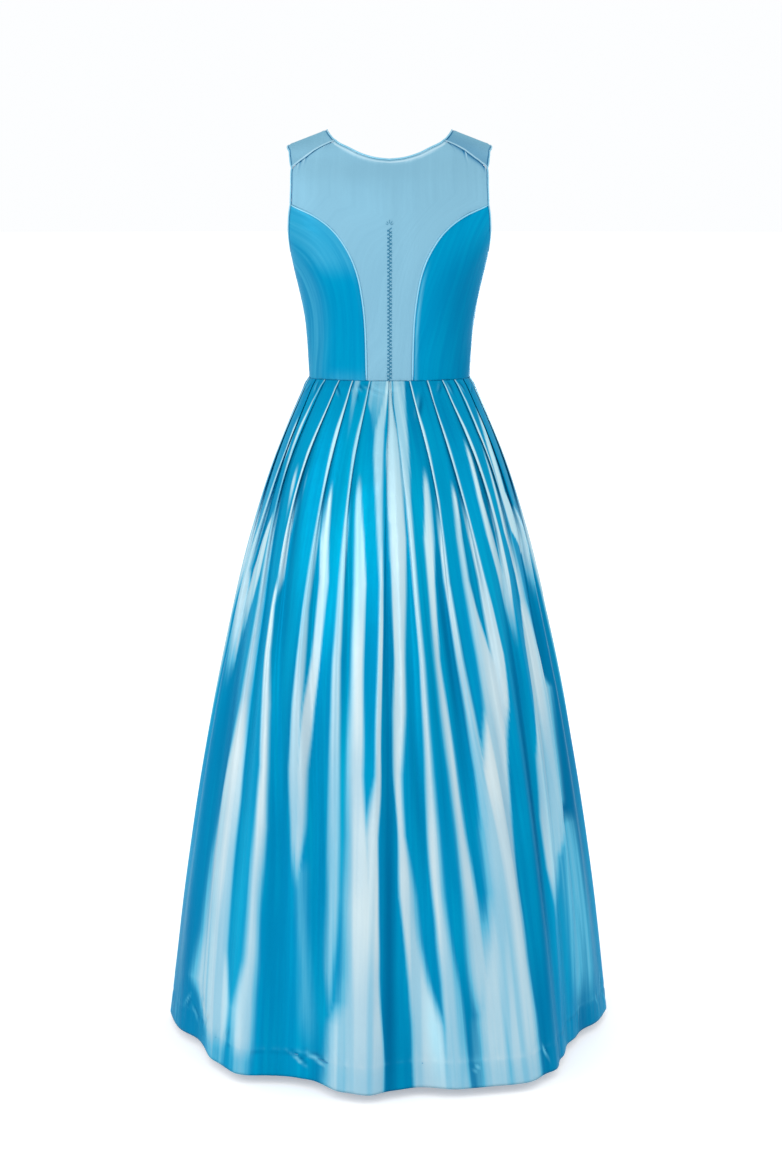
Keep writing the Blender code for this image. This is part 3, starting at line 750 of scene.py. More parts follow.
# %% Front panels
YOKE_PAINTED_SHADE = {1: 0.0, -1: 0.34}  # painted shade: how much deeper the blue is painted by the yoke seam
opening = straight((-math.pi / 2, WAIST_HEIGHT), edges["strap_neck"][0], OPENING_ROWS)
neck_side = joined(opening, edges["strap_neck"])
arm_side = joined(edges["front_seam"], edges["strap_arm"])
bottom = straight(arm_side[0], neck_side[0], YOKE_COLUMNS)
grid = closer_at_edges(patch(bottom, edges["yoke"][::-1], arm_side, neck_side))
left_side = on_figure(grid)
for node, side in both_sides("front"):
    points = mirrored(left_side, side)
    across, up = measured(points)
    from_top = up[-1:] - up
    out, painted_shade = panel_relief(across, up, 3.0 + side, 4.0 + side, puckers=0.7)
    roll = 0.0006 * bell((from_top - 0.0020) / 0.0022)
    out = out + roll + 0.0003 * uneven(across / 0.014, side) * bell(from_top / 0.012)
    painted_shade = painted_shade + YOKE_PAINTED_SHADE[side] * bell(from_top / 0.030)
    # painted highlight along the rolled yoke edge
    painted_highlight = 0.5 * bell((from_top - 0.0018) / 0.0012)
    values = {"painted_highlight": painted_highlight, "painted_shade": painted_shade}
    add_cloth(node.replace("front", "front_panel"), points, out, values, satin_painted_sheen, node)

# %% [markdown]
# ## Piping
#
# Covered cord finishes the neck and the armholes and stands proud in the two back seams. It is a tube
# swept along the seam's own line. Its covering is stitched down at the foot, where shade is painted in
# a deep blue, while the crown is painted pale as its sheen.

# %% Piping
CORD_SIDES = 12
CORD_UNEVENNESS, CORD_TWIST_PITCH = 0.05, 0.006
CORD_END = 0.4  # how thin an open end gets
FORESHORTENED_END = 0.9  # how far the seam cord goes along its last stretch, to clear the armhole's


def off_figure(places):
    """Directions straight off the figure at places given as (angle, height)."""
    step = 0.0001
    here = np.stack([places[..., 0], np.minimum(places[..., 1], -step)], axis=-1)
    around = on_figure(here + (step, 0)) - on_figure(here - (step, 0))
    upwards = on_figure(here + (0, step)) - on_figure(here - (0, step))
    return unit(np.cross(around, upwards))


def edge_line(edge):
    """A cord's line beside a cut edge, and which way is out along it."""
    line, face = on_figure(edge), off_figure(edge)
    reach = PIPING_RADIUS + SEAM_GAP
    return line + reach * np.cross(face, course(line)) - SHEET_THICKNESS * face, face


def tube(line, ahead, face, size, sides):
    """Rings of points round a line that faces this way, and the angle of each point in its ring."""
    across = unit(np.cross(ahead, face))
    out = np.cross(across, ahead)
    turn = np.linspace(0, 2 * math.pi, sides, endpoint=False)
    ring = np.cos(turn)[:, None] * out[:, None] + np.sin(turn)[:, None] * across[:, None]
    return line[:, None] + size[:, None, None] * ring, turn


def add_cord(node, line, face, closed=False):
    """Covered cord along a line, in place of its solid."""
    if closed:
        ahead = np.roll(line, -1, axis=0) - np.roll(line, 1, axis=0)
    else:
        ahead = np.gradient(line, axis=0)
    run = np.linalg.norm(np.diff(line, axis=0, prepend=line[:1]), axis=-1).cumsum()
    size = PIPING_RADIUS * (1 + CORD_UNEVENNESS * uneven(run / CORD_TWIST_PITCH))
    if not closed:
        size[[0, -1]] *= CORD_END
    points, turn = tube(line, unit(ahead), face, size, CORD_SIDES)
    faces = faces_of_grid(len(line), CORD_SIDES, closed=True)[:, ::-1]
    if closed:
        last, first = (len(line) - 1) * CORD_SIDES + np.arange(CORD_SIDES), np.arange(CORD_SIDES)
        bridge = np.stack([last, np.roll(last, -1), np.roll(first, -1), first], axis=-1)
        faces = np.concatenate([faces, bridge])
    # painted shade at the cord's foot
    foot_painted_shade = ramp((0.45 - np.cos(turn)) / 0.7) * np.ones((len(line), 1))
    flat = np.stack(np.broadcast_arrays(turn * PIPING_RADIUS, run[:, None]), axis=-1)
    cord = add_mesh(node.replace("piping", "cord"), points, faces, cord_satin.material, {"painted_shade": foot_painted_shade}, flat)
    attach(cord, root)
    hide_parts(node)
    print(f"{cord.name}: {100 * run[-1]:.0f} cm")


def cord_on_both_sides(name, line, face, closed=False):
    for node, side in both_sides(name):
        add_cord(node, line * (side, 1, 1), face * (side, 1, 1), closed)


seam = edges["back_seam"]
line = on_figure(seam)
line[0, 2] += PIPING_RADIUS + SEAM_GAP
line[-1] = line[-2] + FORESHORTENED_END * (line[-1] - line[-2])
cord_on_both_sides("back_seam_piping", line, off_figure(seam))

armhole = joined(edges["back_dip"], edges["back_armhole"], edges["strap_arm"][::-1], edges["front_dip"][::-1])
line, face = edge_line(armhole)
cord_on_both_sides("armhole_piping", line[:-1], face[:-1], closed=True)

line, face = edge_line(joined(edges["strap_neck"], edges["back_neck"][::-1]))
line[0, 0] = PIPING_RADIUS / 2
line[-1, 0] = 0.0
face[-1, 0] = 0.0
line = np.concatenate([line, (line * (-1, 1, 1))[-2::-1]])
face = np.concatenate([face, (face * (-1, 1, 1))[-2::-1]])
add_cord("neck_piping", line, unit(face))

# %% [markdown]
# ## Hand stitches down the centre back
#
# A row of herringbone stitches runs from between the shoulder blades to the waist, as tailors once did to
# hold a pleat, and ends on top in a small fan. Each stitch is a short thread that rises out of the cloth,
# arches a little and sinks in again, so each is a thin bent tube, and all of them are one mesh.

# %% Herringbone row
ROW_TOP, ROW_BOTTOM = -0.1500, -0.3875
STITCH_PITCH = 0.0058
STITCH_HALF_WIDTH = 0.0041
THREAD_RADIUS = 0.00080
FAN_RADIUS = 0.00042
STITCH_ARCH, STITCH_SINKS = 0.0008, 0.0001
STITCH_SLANT = 1.15  # how far down a stitch goes, in pitches
STITCH_RINGS, STITCH_SIDES = 6, 6
FAN = (  # where each strand of the fan starts and ends, as (across, height)
    ((-0.0014, -0.1462), (-0.0062, -0.1440)),
    ((-0.0012, -0.1450), (-0.0046, -0.1398)),
    ((0.0000, -0.1446), (0.0000, -0.1372)),
    ((0.0012, -0.1450), (0.0046, -0.1398)),
    ((0.0014, -0.1462), (0.0062, -0.1440)),
)


def on_centre_back(across, height):
    """A point on the cloth this far to the left of the centre line."""
    half_width, back_depth, _ = section_at(FIGURE, height)
    bend = (1 - np.minimum(np.abs(across) / half_width, 1) ** BODY_SQUARENESS) ** (1 / BODY_SQUARENESS)
    return np.stack(np.broadcast_arrays(across, back_depth * bend, height), axis=-1)


def stitch(start, end, radius=THREAD_RADIUS):
    """The points of one stitch between two (across, height) places."""
    share = np.linspace(0, 1, STITCH_RINGS)
    across = start[0] + (end[0] - start[0]) * share
    height = start[1] + (end[1] - start[1]) * share
    line = on_centre_back(across, height)
    line[:, 1] += STITCH_ARCH * (1 - (2 * share - 1) ** 2) - STITCH_SINKS
    size = radius * np.where((share == 0) | (share == 1), 0.5, 1.0)
    return tube(line, unit(np.gradient(line, axis=0)), (0, 1, 0), size, STITCH_SIDES)[0]


made = []
for number in range(round((ROW_TOP - ROW_BOTTOM) / STITCH_PITCH)):
    wobble = 0.0003 * math.sin(2.7 * number)
    for side, late in ((1, 0.0), (-1, 0.5)):
        high = ROW_TOP - (number + late) * STITCH_PITCH
        reach = side * STITCH_HALF_WIDTH
        low = high - STITCH_SLANT * STITCH_PITCH
        made.append(stitch((-reach + side * wobble, high), (reach + side * wobble, low)))
made += [stitch(start, end, FAN_RADIUS) for start, end in FAN]

faces = faces_of_grid(STITCH_RINGS, STITCH_SIDES, closed=True)[:, ::-1]
all_faces = np.concatenate([faces + number * STITCH_RINGS * STITCH_SIDES for number in range(len(made))])
all_points = np.concatenate([points.reshape(-1, 3) for points in made])
herringbone = add_mesh("herringbone_stitches", all_points, all_faces, thread.material, {}, all_points[:, [0, 2]])
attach(herringbone, root)
print(len(made), "stitches")

# %% [markdown]
# ## The skirt's form
#
# The skirt is a wide tube that is pleated into the waist seam. Its plain form comes from level sections,
# its hem swings in and out as full cloth does, and its folded edges are courses down the skirt: where each
# one lies at five heights, in degrees from the centre back.

# %% Sections, folds and hem of the skirt
SKIRT = rows_of(
    Section, (HEM_HEIGHT, 0.369, 0.345, 0.338), (-1.221, 0.34, 0.318, 0.312), (-1.006, 0.3052, 0.282, 0.28),
    (-0.796, 0.2622, 0.235, 0.237), (-0.63, 0.221, 0.19, 0.197), (-0.507, 0.1815, 0.145, 0.159),
    (-0.427, 0.1485, 0.107, 0.127), (-0.405, 0.1383, 0.093, 0.1155), (WAIST_HEIGHT, 0.1302, 0.082, 0.107),
)

Fold = namedtuple("Fold", "waist tenth third two_thirds hem boldness")
LEFT_FOLDS = rows_of(
    Fold, (0.5, 1, 2, 3.2, 4, 1), (11.2, 15.2, 16.2, 14.5, 13.5, 1), (23.8, 27.5, 30.5, 25, 24, 1.2),
    (35.2, 42.8, 45.5, 38.2, 37, 0.9), (50, 57, 56, 55.5, 53, 1.1), (63.5, 65.5, 76, 77, 75, 1),
    (79, 82, 91, 95, 95, 0.8), (95, 97, 102, 106, 108, 1.1), (110, 112, 117, 121, 122, 1),
    (125, 126, 130, 133, 136, 0.9), (140, 141, 143, 148, 152, 1),
)
RIGHT_FOLDS = rows_of(
    Fold, (0.5, 4.2, 8.8, 11.8, 14, 1), (11.8, 17.5, 22, 30.8, 34, 1.2), (24.5, 29.5, 38.2, 42, 44, 1),
    (37.5, 45.5, 51, 52, 53, 0.9), (50.5, 57, 62, 65, 66, 1.1), (64, 69, 75, 79, 80, 0.9),
    (79, 83, 89, 93, 94, 0.8), (95, 98, 103, 106, 107, 1), (110, 112, 116, 119, 122, 1.1),
    (125, 127, 131, 135, 137, 1), (140, 141, 145, 149, 152, 0.9),
)
FOLD_STATIONS = (0.0, 0.10, 0.33, 0.68, 1.0)  # shares of the skirt's length that the turns belong to

Swing = namedtuple("Swing", "turn out")
HEM_SWING = rows_of(
    Swing, (-180, -0.006), (-160, 0.014), (-138, -0.014), (-116, 0.008), (-98, 0.002), (-88, -0.005),
    (-77, -0.028), (-66, -0.038), (-54, -0.021), (-44, 0.011), (-36, 0.023), (-26, 0.018), (-16, 0.007),
    (-6, -0.01), (-1, 0.002), (5, 0.018), (10, 0.014), (17, -0.01), (25, -0.023), (32, -0.006), (40, 0.01),
    (50, -0.004), (60, -0.019), (68, -0.022), (77, -0.01), (88, 0.003), (112, -0.014), (134, 0.014), (157, 0.004),
    (180, -0.006),
)
SWING_POWER = 1.8  # how late on the way down the swing sets in


def skirt_surface(turns, down, out=0.0):
    """Points of the skirt at these turns and shares of its length, moved out from its plain form."""
    top = WAIST_HEIGHT - SEAM_GAP
    height = top + (HEM_HEIGHT - top) * down
    half_width, back_depth, front_depth = section_at(SKIRT, height)
    squareness = BODY_SQUARENESS + (2 - BODY_SQUARENESS) * down
    x, y = on_ring(half_width, back_depth, front_depth, np.radians(90 - turns), squareness)
    depth = np.where(y >= 0, back_depth, front_depth)
    away = unit(np.stack([x / half_width**2, y / depth**2, np.zeros_like(x)], axis=-1))
    turns_either_way = (turns + 180) % 360 - 180
    swing = smooth(column(HEM_SWING, "turn"), column(HEM_SWING, "out"), turns_either_way)
    out = out + swing * down**SWING_POWER
    return np.stack([x, y, height], axis=-1) + out[..., None] * away


hem = skirt_surface(np.linspace(0, 360, 721), np.ones(721))
print(f"round the hem: {np.linalg.norm(np.diff(hem, axis=0), axis=-1).sum():.2f} m")

# %% [markdown]
# ## Pleats that open into flutes
#
# At the waist each knife pleat is three layers: the cloth runs out under the next fold, turns back, and
# rolls over as that fold's edge. Lower down nothing holds it, and the same cloth stands up as a soft
# flute. So two cross sections are drawn with the same number of points, a closed one and an open one, and
# the skirt blends from the first to the second on its way down.

# %% Cross sections of a pleat
Bend = namedtuple("Bend", "run closed_share closed_rise open_share")
PLEAT_BENDS = rows_of(  # along the cloth of one pleat, from its folded edge to the next
    Bend, (0, 0, 0, 0), (0.04, 0.03, 0.01, 0.045), (0.12, 0.12, 0, 0.125), (0.35, 0.55, -0.05, 0.38),
    (0.5, 0.83, -0.28, 0.55), (0.58, 0.99, -0.86, 0.64), (0.64, 1.12, -1, 0.7), (0.7, 1.23, -0.98, 0.76),
    (0.74, 1.27, -0.8, 0.79), (0.78, 1.23, -0.62, 0.82), (0.88, 1.06, -0.52, 0.9), (0.94, 1, -0.46, 0.95),
    (0.97, 0.975, -0.28, 0.975), (0.985, 0.98, -0.12, 0.988), (1, 1, 0, 1),
)
UNDER_SHARE = (0.50, 0.98)  # this stretch of the run lies out of sight while a pleat is closed

Middle = namedtuple("Middle", "run closed_turn closed_rise open_share open_wave")
INVERTED_BENDS = rows_of(  # from the right fold's edge, under it, across and out to the left fold's
    Middle, (0, 0, 0, 0, 1), (0.03, 0.2, -0.15, 0.03, 0.92), (0.1, -0.3, -0.45, 0.08, 0.76),
    (0.22, -2, -0.5, 0.16, 0.6), (0.28, -2.4, -0.75, 0.22, 0.54), (0.34, -2, -1, 0.3, 0.5),
    (0.5, 0, -1, 0.52, 0.78), (0.66, 2, -1, 0.72, 0.22), (0.72, 2.4, -0.75, 0.78, 0.04),
    (0.78, 2, -0.5, 0.83, 0.04), (0.9, 0.3, -0.45, 0.92, 0.5), (0.97, -0.2, -0.15, 0.97, 0.86), (1, 0, 0, 1, 1),
)

Pleat = namedtuple("Pleat", "down depth trough closed")
PLEATING = rows_of(
    Pleat, (0, 0.0015, 0.92, 1), (0.03, 0.0021, 0.91, 1), (0.08, 0.0028, 0.88, 0.85), (0.15, 0.0043, 0.83, 0.58),
    (0.24, 0.007, 0.76, 0.3), (0.33, 0.009, 0.7, 0.12), (0.48, 0.0108, 0.64, 0.02), (0.65, 0.0105, 0.58, 0),
    (1, 0.0045, 0.55, 0),
)
LAYERS_DEPTH = 0.0027  # room for the three layers of the inverted pleat
MIDDLE_BLEND = 0.2  # nearer its middle than this, the pleat leaves the fold beside it
OUT_OF_SIGHT = 0.30  # a pleat less closed than this hides nothing
PLEAT_STEPS = 26
MIDDLE_STEPS = 34
PLAIN_STEPS = 64
SIDE_SEAM_FIELD, SIDE_SEAM_RUN = 6, 0.12  # the side seams lie in this pleat, so far along it

Rows = namedtuple("Rows", "start end count")
ROW_BLOCKS = (Rows(0.0, 0.06, 24), Rows(0.06, 0.35, 42), Rows(0.35, 0.92, 46), Rows(0.92, 1.0, 16))
down = np.concatenate([np.linspace(b.start, b.end, b.count, endpoint=False) for b in ROW_BLOCKS] + [[1.0]])

depth, trough = (smooth(column(PLEATING, "down"), column(PLEATING, name), down) for name in ("depth", "trough"))
closed = np.interp(down, column(PLEATING, "down"), column(PLEATING, "closed"))


def bends_at(table, run):
    """The table's other columns at these places along the run."""
    return [smooth(column(table, "run"), column(table, name), run) for name in table[0]._fields[1:]]


def fold_turn(fold):
    """Where a folded edge runs, in degrees from the centre back, at each row."""
    return smooth(FOLD_STATIONS, fold[:-1], down)


def pleat_wave(share, trough):
    """1 at a folded edge, 0 at the trough and 1 at the next edge."""
    falling = 0.5 + 0.5 * np.cos(np.pi * share / trough)
    rising = 0.5 - 0.5 * np.cos(np.pi * (share - trough) / (1 - trough))
    return np.where(share <= trough, falling, rising)


def knife_pleat(start, end, boldness):
    """Turns, rises and how hidden each point is, for the rows and the steps of one pleat."""
    run = np.linspace(0, 1, PLEAT_STEPS, endpoint=False)[None]
    closed_share, closed_rise, open_share = bends_at(PLEAT_BENDS, run)
    shut = closed[:, None]
    share = shut * closed_share + (1 - shut) * open_share
    open_rise = pleat_wave(open_share, trough[:, None]) - 1
    rise = (shut * closed_rise + (1 - shut) * open_rise) * (depth * boldness)[:, None]
    turns = start[:, None] + share * (end - start)[:, None]
    low, high = UNDER_SHARE
    under = ramp((run - low) / 0.08) * ramp((high - run) / 0.03) * ramp((shut - OUT_OF_SIGHT) / OUT_OF_SIGHT)
    return turns, rise, under


def inverted_pleat(start, end):
    """The same for the pleat at the centre back, between its two folded edges."""
    run = np.linspace(0, 1, MIDDLE_STEPS, endpoint=False)[None]
    closed_turn, closed_rise, open_share, open_wave = bends_at(INVERTED_BENDS, run)
    shut = closed[:, None]
    gap = (end - start)[:, None]
    beside = np.where(run < 0.5, start[:, None] + closed_turn, end[:, None] + closed_turn)
    across = start[:, None] + gap * open_share
    blend = ramp(np.abs(run - 0.5) / MIDDLE_BLEND)
    closed_turns = blend * beside + (1 - blend) * across
    turns = shut * closed_turns + (1 - shut) * across
    rise = (shut * closed_rise + (1 - shut) * (open_wave - 1)) * np.maximum(depth, LAYERS_DEPTH)[:, None]
    return turns, rise, np.zeros_like(turns)


# from the left fold by the centre back round by the left, the front and the right to the centre back again
fields, seams, count = [], {}, 0
left = [fold_turn(fold) for fold in LEFT_FOLDS]
right = [360 - fold_turn(fold) for fold in RIGHT_FOLDS]
seam_step = round(SIDE_SEAM_RUN * PLEAT_STEPS)
for number in range(len(LEFT_FOLDS) - 1):
    if number == SIDE_SEAM_FIELD:
        seams["left"] = count + seam_step
    fields.append(knife_pleat(left[number], left[number + 1], LEFT_FOLDS[number].boldness))
    count += PLEAT_STEPS
share = np.linspace(0, 1, PLAIN_STEPS, endpoint=False)[None]
plain_turns = left[-1][:, None] * (1 - share) + right[-1][:, None] * share
fields.append((plain_turns, np.zeros_like(plain_turns), np.zeros_like(plain_turns)))
seams["front"] = count + PLAIN_STEPS // 2
count += PLAIN_STEPS
for number in reversed(range(len(RIGHT_FOLDS) - 1)):
    turns, rise, under = knife_pleat(right[number], right[number + 1], RIGHT_FOLDS[number].boldness)
    last = [right[number + 1][:, None], np.zeros((len(down), 1)), np.zeros((len(down), 1))]
    field = [np.concatenate([edge, values[:, :0:-1]], axis=1) for edge, values in zip(last, (turns, rise, under))]
    fields.append(tuple(field))
    count += PLEAT_STEPS
    if number == SIDE_SEAM_FIELD:
        seams["right"] = count - seam_step
fields.append(inverted_pleat(right[0], left[0] + 360))
turns, rise, under = (np.concatenate(parts, axis=1) for parts in zip(*fields))
print(turns.shape[0], "rows and", turns.shape[1], "columns round the skirt; seams at", seams)

# %% [markdown]
# ## Where the folds gleam: the painted highlights
#
# On satin the eye reads the gleams before the folds, and here each gleam is a painted highlight. Each
# follows a folded edge or a flute between two of them: it starts as a fine line at the waist, widens as
# the fold opens and dies away near the hem. So each has its own short course, given as shares of the
# skirt's length with the turns between which it lies. The cloth swells softly under each one, so that the
# lamps' light finds it there too.

# %% Courses of the gleams, the painted highlights
# softness is that of the low and the high edge, strength that of the upper and the lower end
# each gleam is a course of painted highlight, with a real swell of the cloth under it
Gleam = namedtuple("Gleam", "name swell softness strength course")
BACK_GLEAMS = rows_of(
    Gleam,
    ("left fifth fold", 1, (1.2, 6), (1, 0.7), (
        (0.06, 64.5, 66), (0.1, 62.8, 65.4), (0.165, 67.5, 69), (0.215, 70.3, 72.1), (0.28, 72.9, 79),
        (0.32, 72.4, 78.5), (0.39, 72, 76.5), (0.45, 73.5, 76))),
    ("left flute before the fifth", 1, (1, 1), (1, 0.8), (
        (0.2, 58.7, 60.7), (0.28, 59, 71), (0.32, 61.7, 72.4), (0.38, 70, 72.9))),
    ("left fourth fold", 1, (1.6, 4.2), (1, 0.8), (
        (0, 49.4, 50.9), (0.03, 53.7, 55.2), (0.065, 55.8, 58.3), (0.1, 57.3, 58.8), (0.165, 56.8, 58.3),
        (0.22, 56.6, 58.1), (0.28, 55.2, 56.7), (0.32, 54.3, 55.8), (0.39, 53.8, 55.8), (0.46, 53.1, 55.9),
        (0.53, 51.6, 58.2), (0.61, 50.5, 63.5), (0.71, 50, 66.8), (0.83, 48.9, 67.3), (0.91, 44.5, 70.2),
        (1, 45.8, 54))),
    ("left flute before the fourth", 1, (1, 1), (1, 0.8), (
        (0.13, 48, 49.6), (0.15, 47.5, 49.6), (0.19, 47.6, 48.6))),
    ("left third fold, lower down", 1, (1, 1.8), (1, 0.75), (
        (0.29, 45, 46.3), (0.32, 45.1, 46.6), (0.39, 43.6, 45.7), (0.46, 40.9, 43.2), (0.55, 38.4, 40.4),
        (0.635, 36.6, 39.9), (0.83, 35.9, 39.4), (0.91, 35.8, 43), (1, 36.2, 41.4))),
    ("left third fold", 1, (1, 1), (1, 0.9), (
        (0, 34.5, 36), (0.03, 37, 38.5), (0.065, 39.7, 41.2), (0.1, 42.2, 43.7), (0.165, 44, 45.5),
        (0.22, 44.9, 46), (0.28, 43.9, 45.6), (0.31, 44.6, 46.2))),
    ("left flute before the third", 1, (1, 1), (1, 0.9), (
        (0.13, 40.7, 43.2), (0.15, 40.9, 43.5), (0.19, 42.2, 43.6))),
    ("left second fold", 1, (0.8, 1), (1, 0.5), (
        (0, 23.1, 24.6), (0.03, 24.6, 26.1), (0.065, 26.1, 27.9), (0.1, 27.1, 28.6), (0.165, 28, 29.5),
        (0.22, 28.8, 30.2), (0.32, 29.1, 31.2), (0.46, 28, 31.5), (0.55, 27, 31.1), (0.63, 26.3, 28.9),
        (0.7, 26.7, 28.2))),
    ("left flute before the second", 1, (1, 1), (1, 0.6), (
        (0.15, 24.6, 27.4), (0.22, 23.4, 27.9), (0.28, 21.9, 26.2), (0.39, 23.2, 26.7), (0.46, 24.4, 27.7),
        (0.55, 24.9, 28), (0.63, 24.4, 27.3), (0.72, 25.3, 26.8))),
    ("left first fold", 1, (1, 1.4), (1, 0.3), (
        (0, 10.7, 12.2), (0.065, 13.6, 15.1), (0.1, 14.5, 16.1), (0.165, 15.2, 16.7), (0.22, 15.7, 17.2),
        (0.32, 15.3, 17.6), (0.39, 15.3, 17.9), (0.46, 14.3, 17.4), (0.635, 13.2, 16.8), (0.72, 12.7, 16.6),
        (0.83, 13.7, 16.7), (0.9, 13.9, 15.8))),
    ("left flute by the centre", 1, (1, 2.4), (0.95, 0.72), (
        (0.14, 11.1, 12.7), (0.165, 10.5, 13.3), (0.22, 8.8, 12.3), (0.28, 7.5, 11.7), (0.39, 7.5, 11.4),
        (0.55, 7, 11.2), (0.635, 5.4, 10.6), (0.72, 3.9, 10.8), (0.83, 3.4, 10.9), (0.87, 3, 11.4),
        (0.91, 2.7, 14.9), (0.965, 2.4, 15.7), (1, 2.2, 16.2))),
    ("centre left fold", 0.5, (0.4, 1.4), (0.8, 0.8), (
        (0, 0.2, 1.7), (0.065, 2, 5.8), (0.1, 2.2, 6), (0.165, 2.2, 4.5), (0.22, 2.1, 3.6), (0.28, 1.6, 2.8),
        (0.39, 1.8, 3), (0.55, 2.2, 3.7), (0.635, 2.6, 5.9), (0.83, 2.4, 5.8), (1, 1.2, 5.7))),
    ("left of the centre at the waist", 0, (1, 1), (0.7, 0.5), (
        (-0.04, 1.2, 11), (0.03, 1.2, 11.1), (0.045, 2, 9), (0.075, 2.2, 7))),
    ("second pleat at the waist", 0, (1, 1), (0.7, 0.5), (
        (-0.04, 17, 22.5), (0.03, 19, 21.7), (0.07, 19.4, 20.9))),
    ("bottom of the inverted pleat", 0.4, (1.2, 0.6), (0.72, 0.85), (
        (0, -1.1, 0.4), (0.03, -1.1, 0.3), (0.065, -2.6, 0.2), (0.1, -3.6, 0.6), (0.165, -4.6, 0.3),
        (0.22, -5.4, 0), (0.28, -5.1, -0.5), (0.39, -4.3, -1.2), (0.46, -4.3, -0.8), (0.55, -3.1, -1),
        (0.635, -3.6, -1.9), (0.72, -6.2, -2.6), (0.79, -7.8, -3.9), (0.85, -9.9, -4.9), (0.91, -13.2, -5.6),
        (1, -14.5, -6.2))),
    ("centre right fold", 0.6, (1.2, 0.8), (0.7, 0.85), (
        (-0.04, -9, -1), (0.03, -8, -1.8), (0.065, -7.8, -3.2), (0.1, -7.5, -4.2), (0.165, -7.5, -5.8),
        (0.22, -8.2, -6.7), (0.28, -8.9, -7.4), (0.39, -10.4, -8.9), (0.46, -11.1, -9.3), (0.55, -11.8, -9.7),
        (0.635, -13, -10.2), (0.72, -13.9, -11), (0.79, -15.1, -11.8), (0.85, -16.4, -13.2), (0.91, -17.6, -13.9),
        (1, -19.3, -14.6))),
    ("right first fold", 1, (1.2, 0.8), (1, 0.6), (
        (0, -12.8, -11.3), (0.03, -14.5, -13), (0.065, -16.6, -15.1), (0.1, -17.9, -16.4), (0.165, -19.8, -18.3),
        (0.22, -20.3, -18.8), (0.28, -20.8, -19.3), (0.39, -23.4, -21.4), (0.46, -25.5, -23),
        (0.55, -27.7, -24.7), (0.68, -28.9, -25.8))),
    ("right flute by the centre", 1, (1, 1.4), (1, 0.6), (
        (0.13, -15.8, -14.1), (0.165, -16.6, -13.6), (0.22, -16.4, -12.3), (0.28, -15.5, -12.9),
        (0.39, -15.8, -14), (0.46, -17.4, -15), (0.55, -19.2, -17), (0.635, -20.8, -18.3), (0.72, -22.8, -19.5),
        (0.83, -25.4, -20.3), (0.93, -26.8, -21.5))),
    ("right second fold", 1, (0.7, 1.2), (1, 0.8), (
        (0, -25.6, -24.1), (0.03, -26.6, -25.1), (0.065, -28.3, -26.8), (0.1, -29.9, -28.4), (0.165, -32.5, -31),
        (0.22, -34.4, -32.9), (0.28, -36.5, -34.7), (0.32, -38.1, -35.1), (0.39, -40.1, -35.9),
        (0.46, -39.4, -34.6), (0.52, -37.8, -33))),
    ("right flute before the second", 1, (0.8, 2.2), (0.9, 0.72), (
        (0.15, -29.3, -27.1), (0.22, -28.9, -26.3), (0.28, -29.8, -27), (0.32, -31.8, -28), (0.39, -35.9, -29.4),
        (0.46, -38.3, -29.9), (0.55, -37, -26.4), (0.635, -36.4, -25.7), (0.72, -35.9, -26.7),
        (0.83, -36.9, -23.6), (0.91, -38.1, -21.5), (1, -38.5, -22.4))),
    ("right third fold", 1, (1, 1), (1, 0.8), (
        (0, -38.6, -37.1), (0.03, -41.1, -39.6), (0.065, -44.5, -42.9), (0.1, -46.7, -45.2), (0.165, -49.5, -48),
        (0.22, -50.7, -49.2), (0.28, -51.3, -48.9), (0.32, -50.5, -47.7), (0.37, -50.5, -49))),
    ("right flute before the third", 1, (1, 1), (1, 0.8), (
        (0.09, -43.4, -40.9), (0.165, -44.1, -40.9), (0.22, -46.9, -42.1), (0.28, -49.3, -45.2),
        (0.34, -50.1, -47.2))),
    ("right fourth fold", 1, (3.2, 0.8), (1, 0.65), (
        (0, -51.6, -50.1), (0.03, -55, -53.2), (0.065, -56.5, -55), (0.165, -59.3, -54.5), (0.22, -59.3, -55),
        (0.28, -60.7, -59.2), (0.32, -61.2, -59.8), (0.39, -64.5, -56), (0.46, -74.1, -54.5),
        (0.55, -73.5, -50.6), (0.635, -73.2, -49.6), (0.67, -69, -49.7), (0.71, -62, -49.9), (0.78, -60, -52))),
    ("right fourth fold, low down", 1, (4, 3.5), (0.38, 0.34), (
        (0.66, -77, -62), (0.75, -79, -62), (0.84, -81, -64), (0.92, -82, -66), (0.97, -83, -68))),
    ("left flute before the second, low down", 0.3, (2, 2), (0.24, 0.2), (
        (0.68, 23.5, 26.6), (0.78, 22.6, 25.4), (0.86, 21.2, 24.4), (0.96, 19, 23.4))),
    ("right fifth fold", 1, (5, 1.2), (1, 1), (
        (0.05, -66.6, -62.4), (0.1, -64.8, -59.9), (0.165, -65.1, -59.4), (0.22, -80, -60.8), (0.26, -81, -72),
        (0.31, -78, -73))),
)


def along_fold(name, fold, side, start, end, before, after):
    """A painted highlight on a hidden fold: it widens downwards on both sides of the folded edge."""
    rows = []
    for share in np.linspace(0, 1, 6):
        at = start + (end - start) * share
        turn = float(smooth(FOLD_STATIONS, fold[:-1], np.array(at)))
        spread = 0.5 + math.sin(math.pi * min(share * 0.75 + 0.05, 1.0))  # widest at 0.6 of the way
        low, high = turn - before * spread, turn + after * spread
        rows.append((at, low, high) if side > 0 else (at, -high, -low))
    return Gleam(name, 1.0, (1.2, 1.2), (1.0, 0.7), rows)


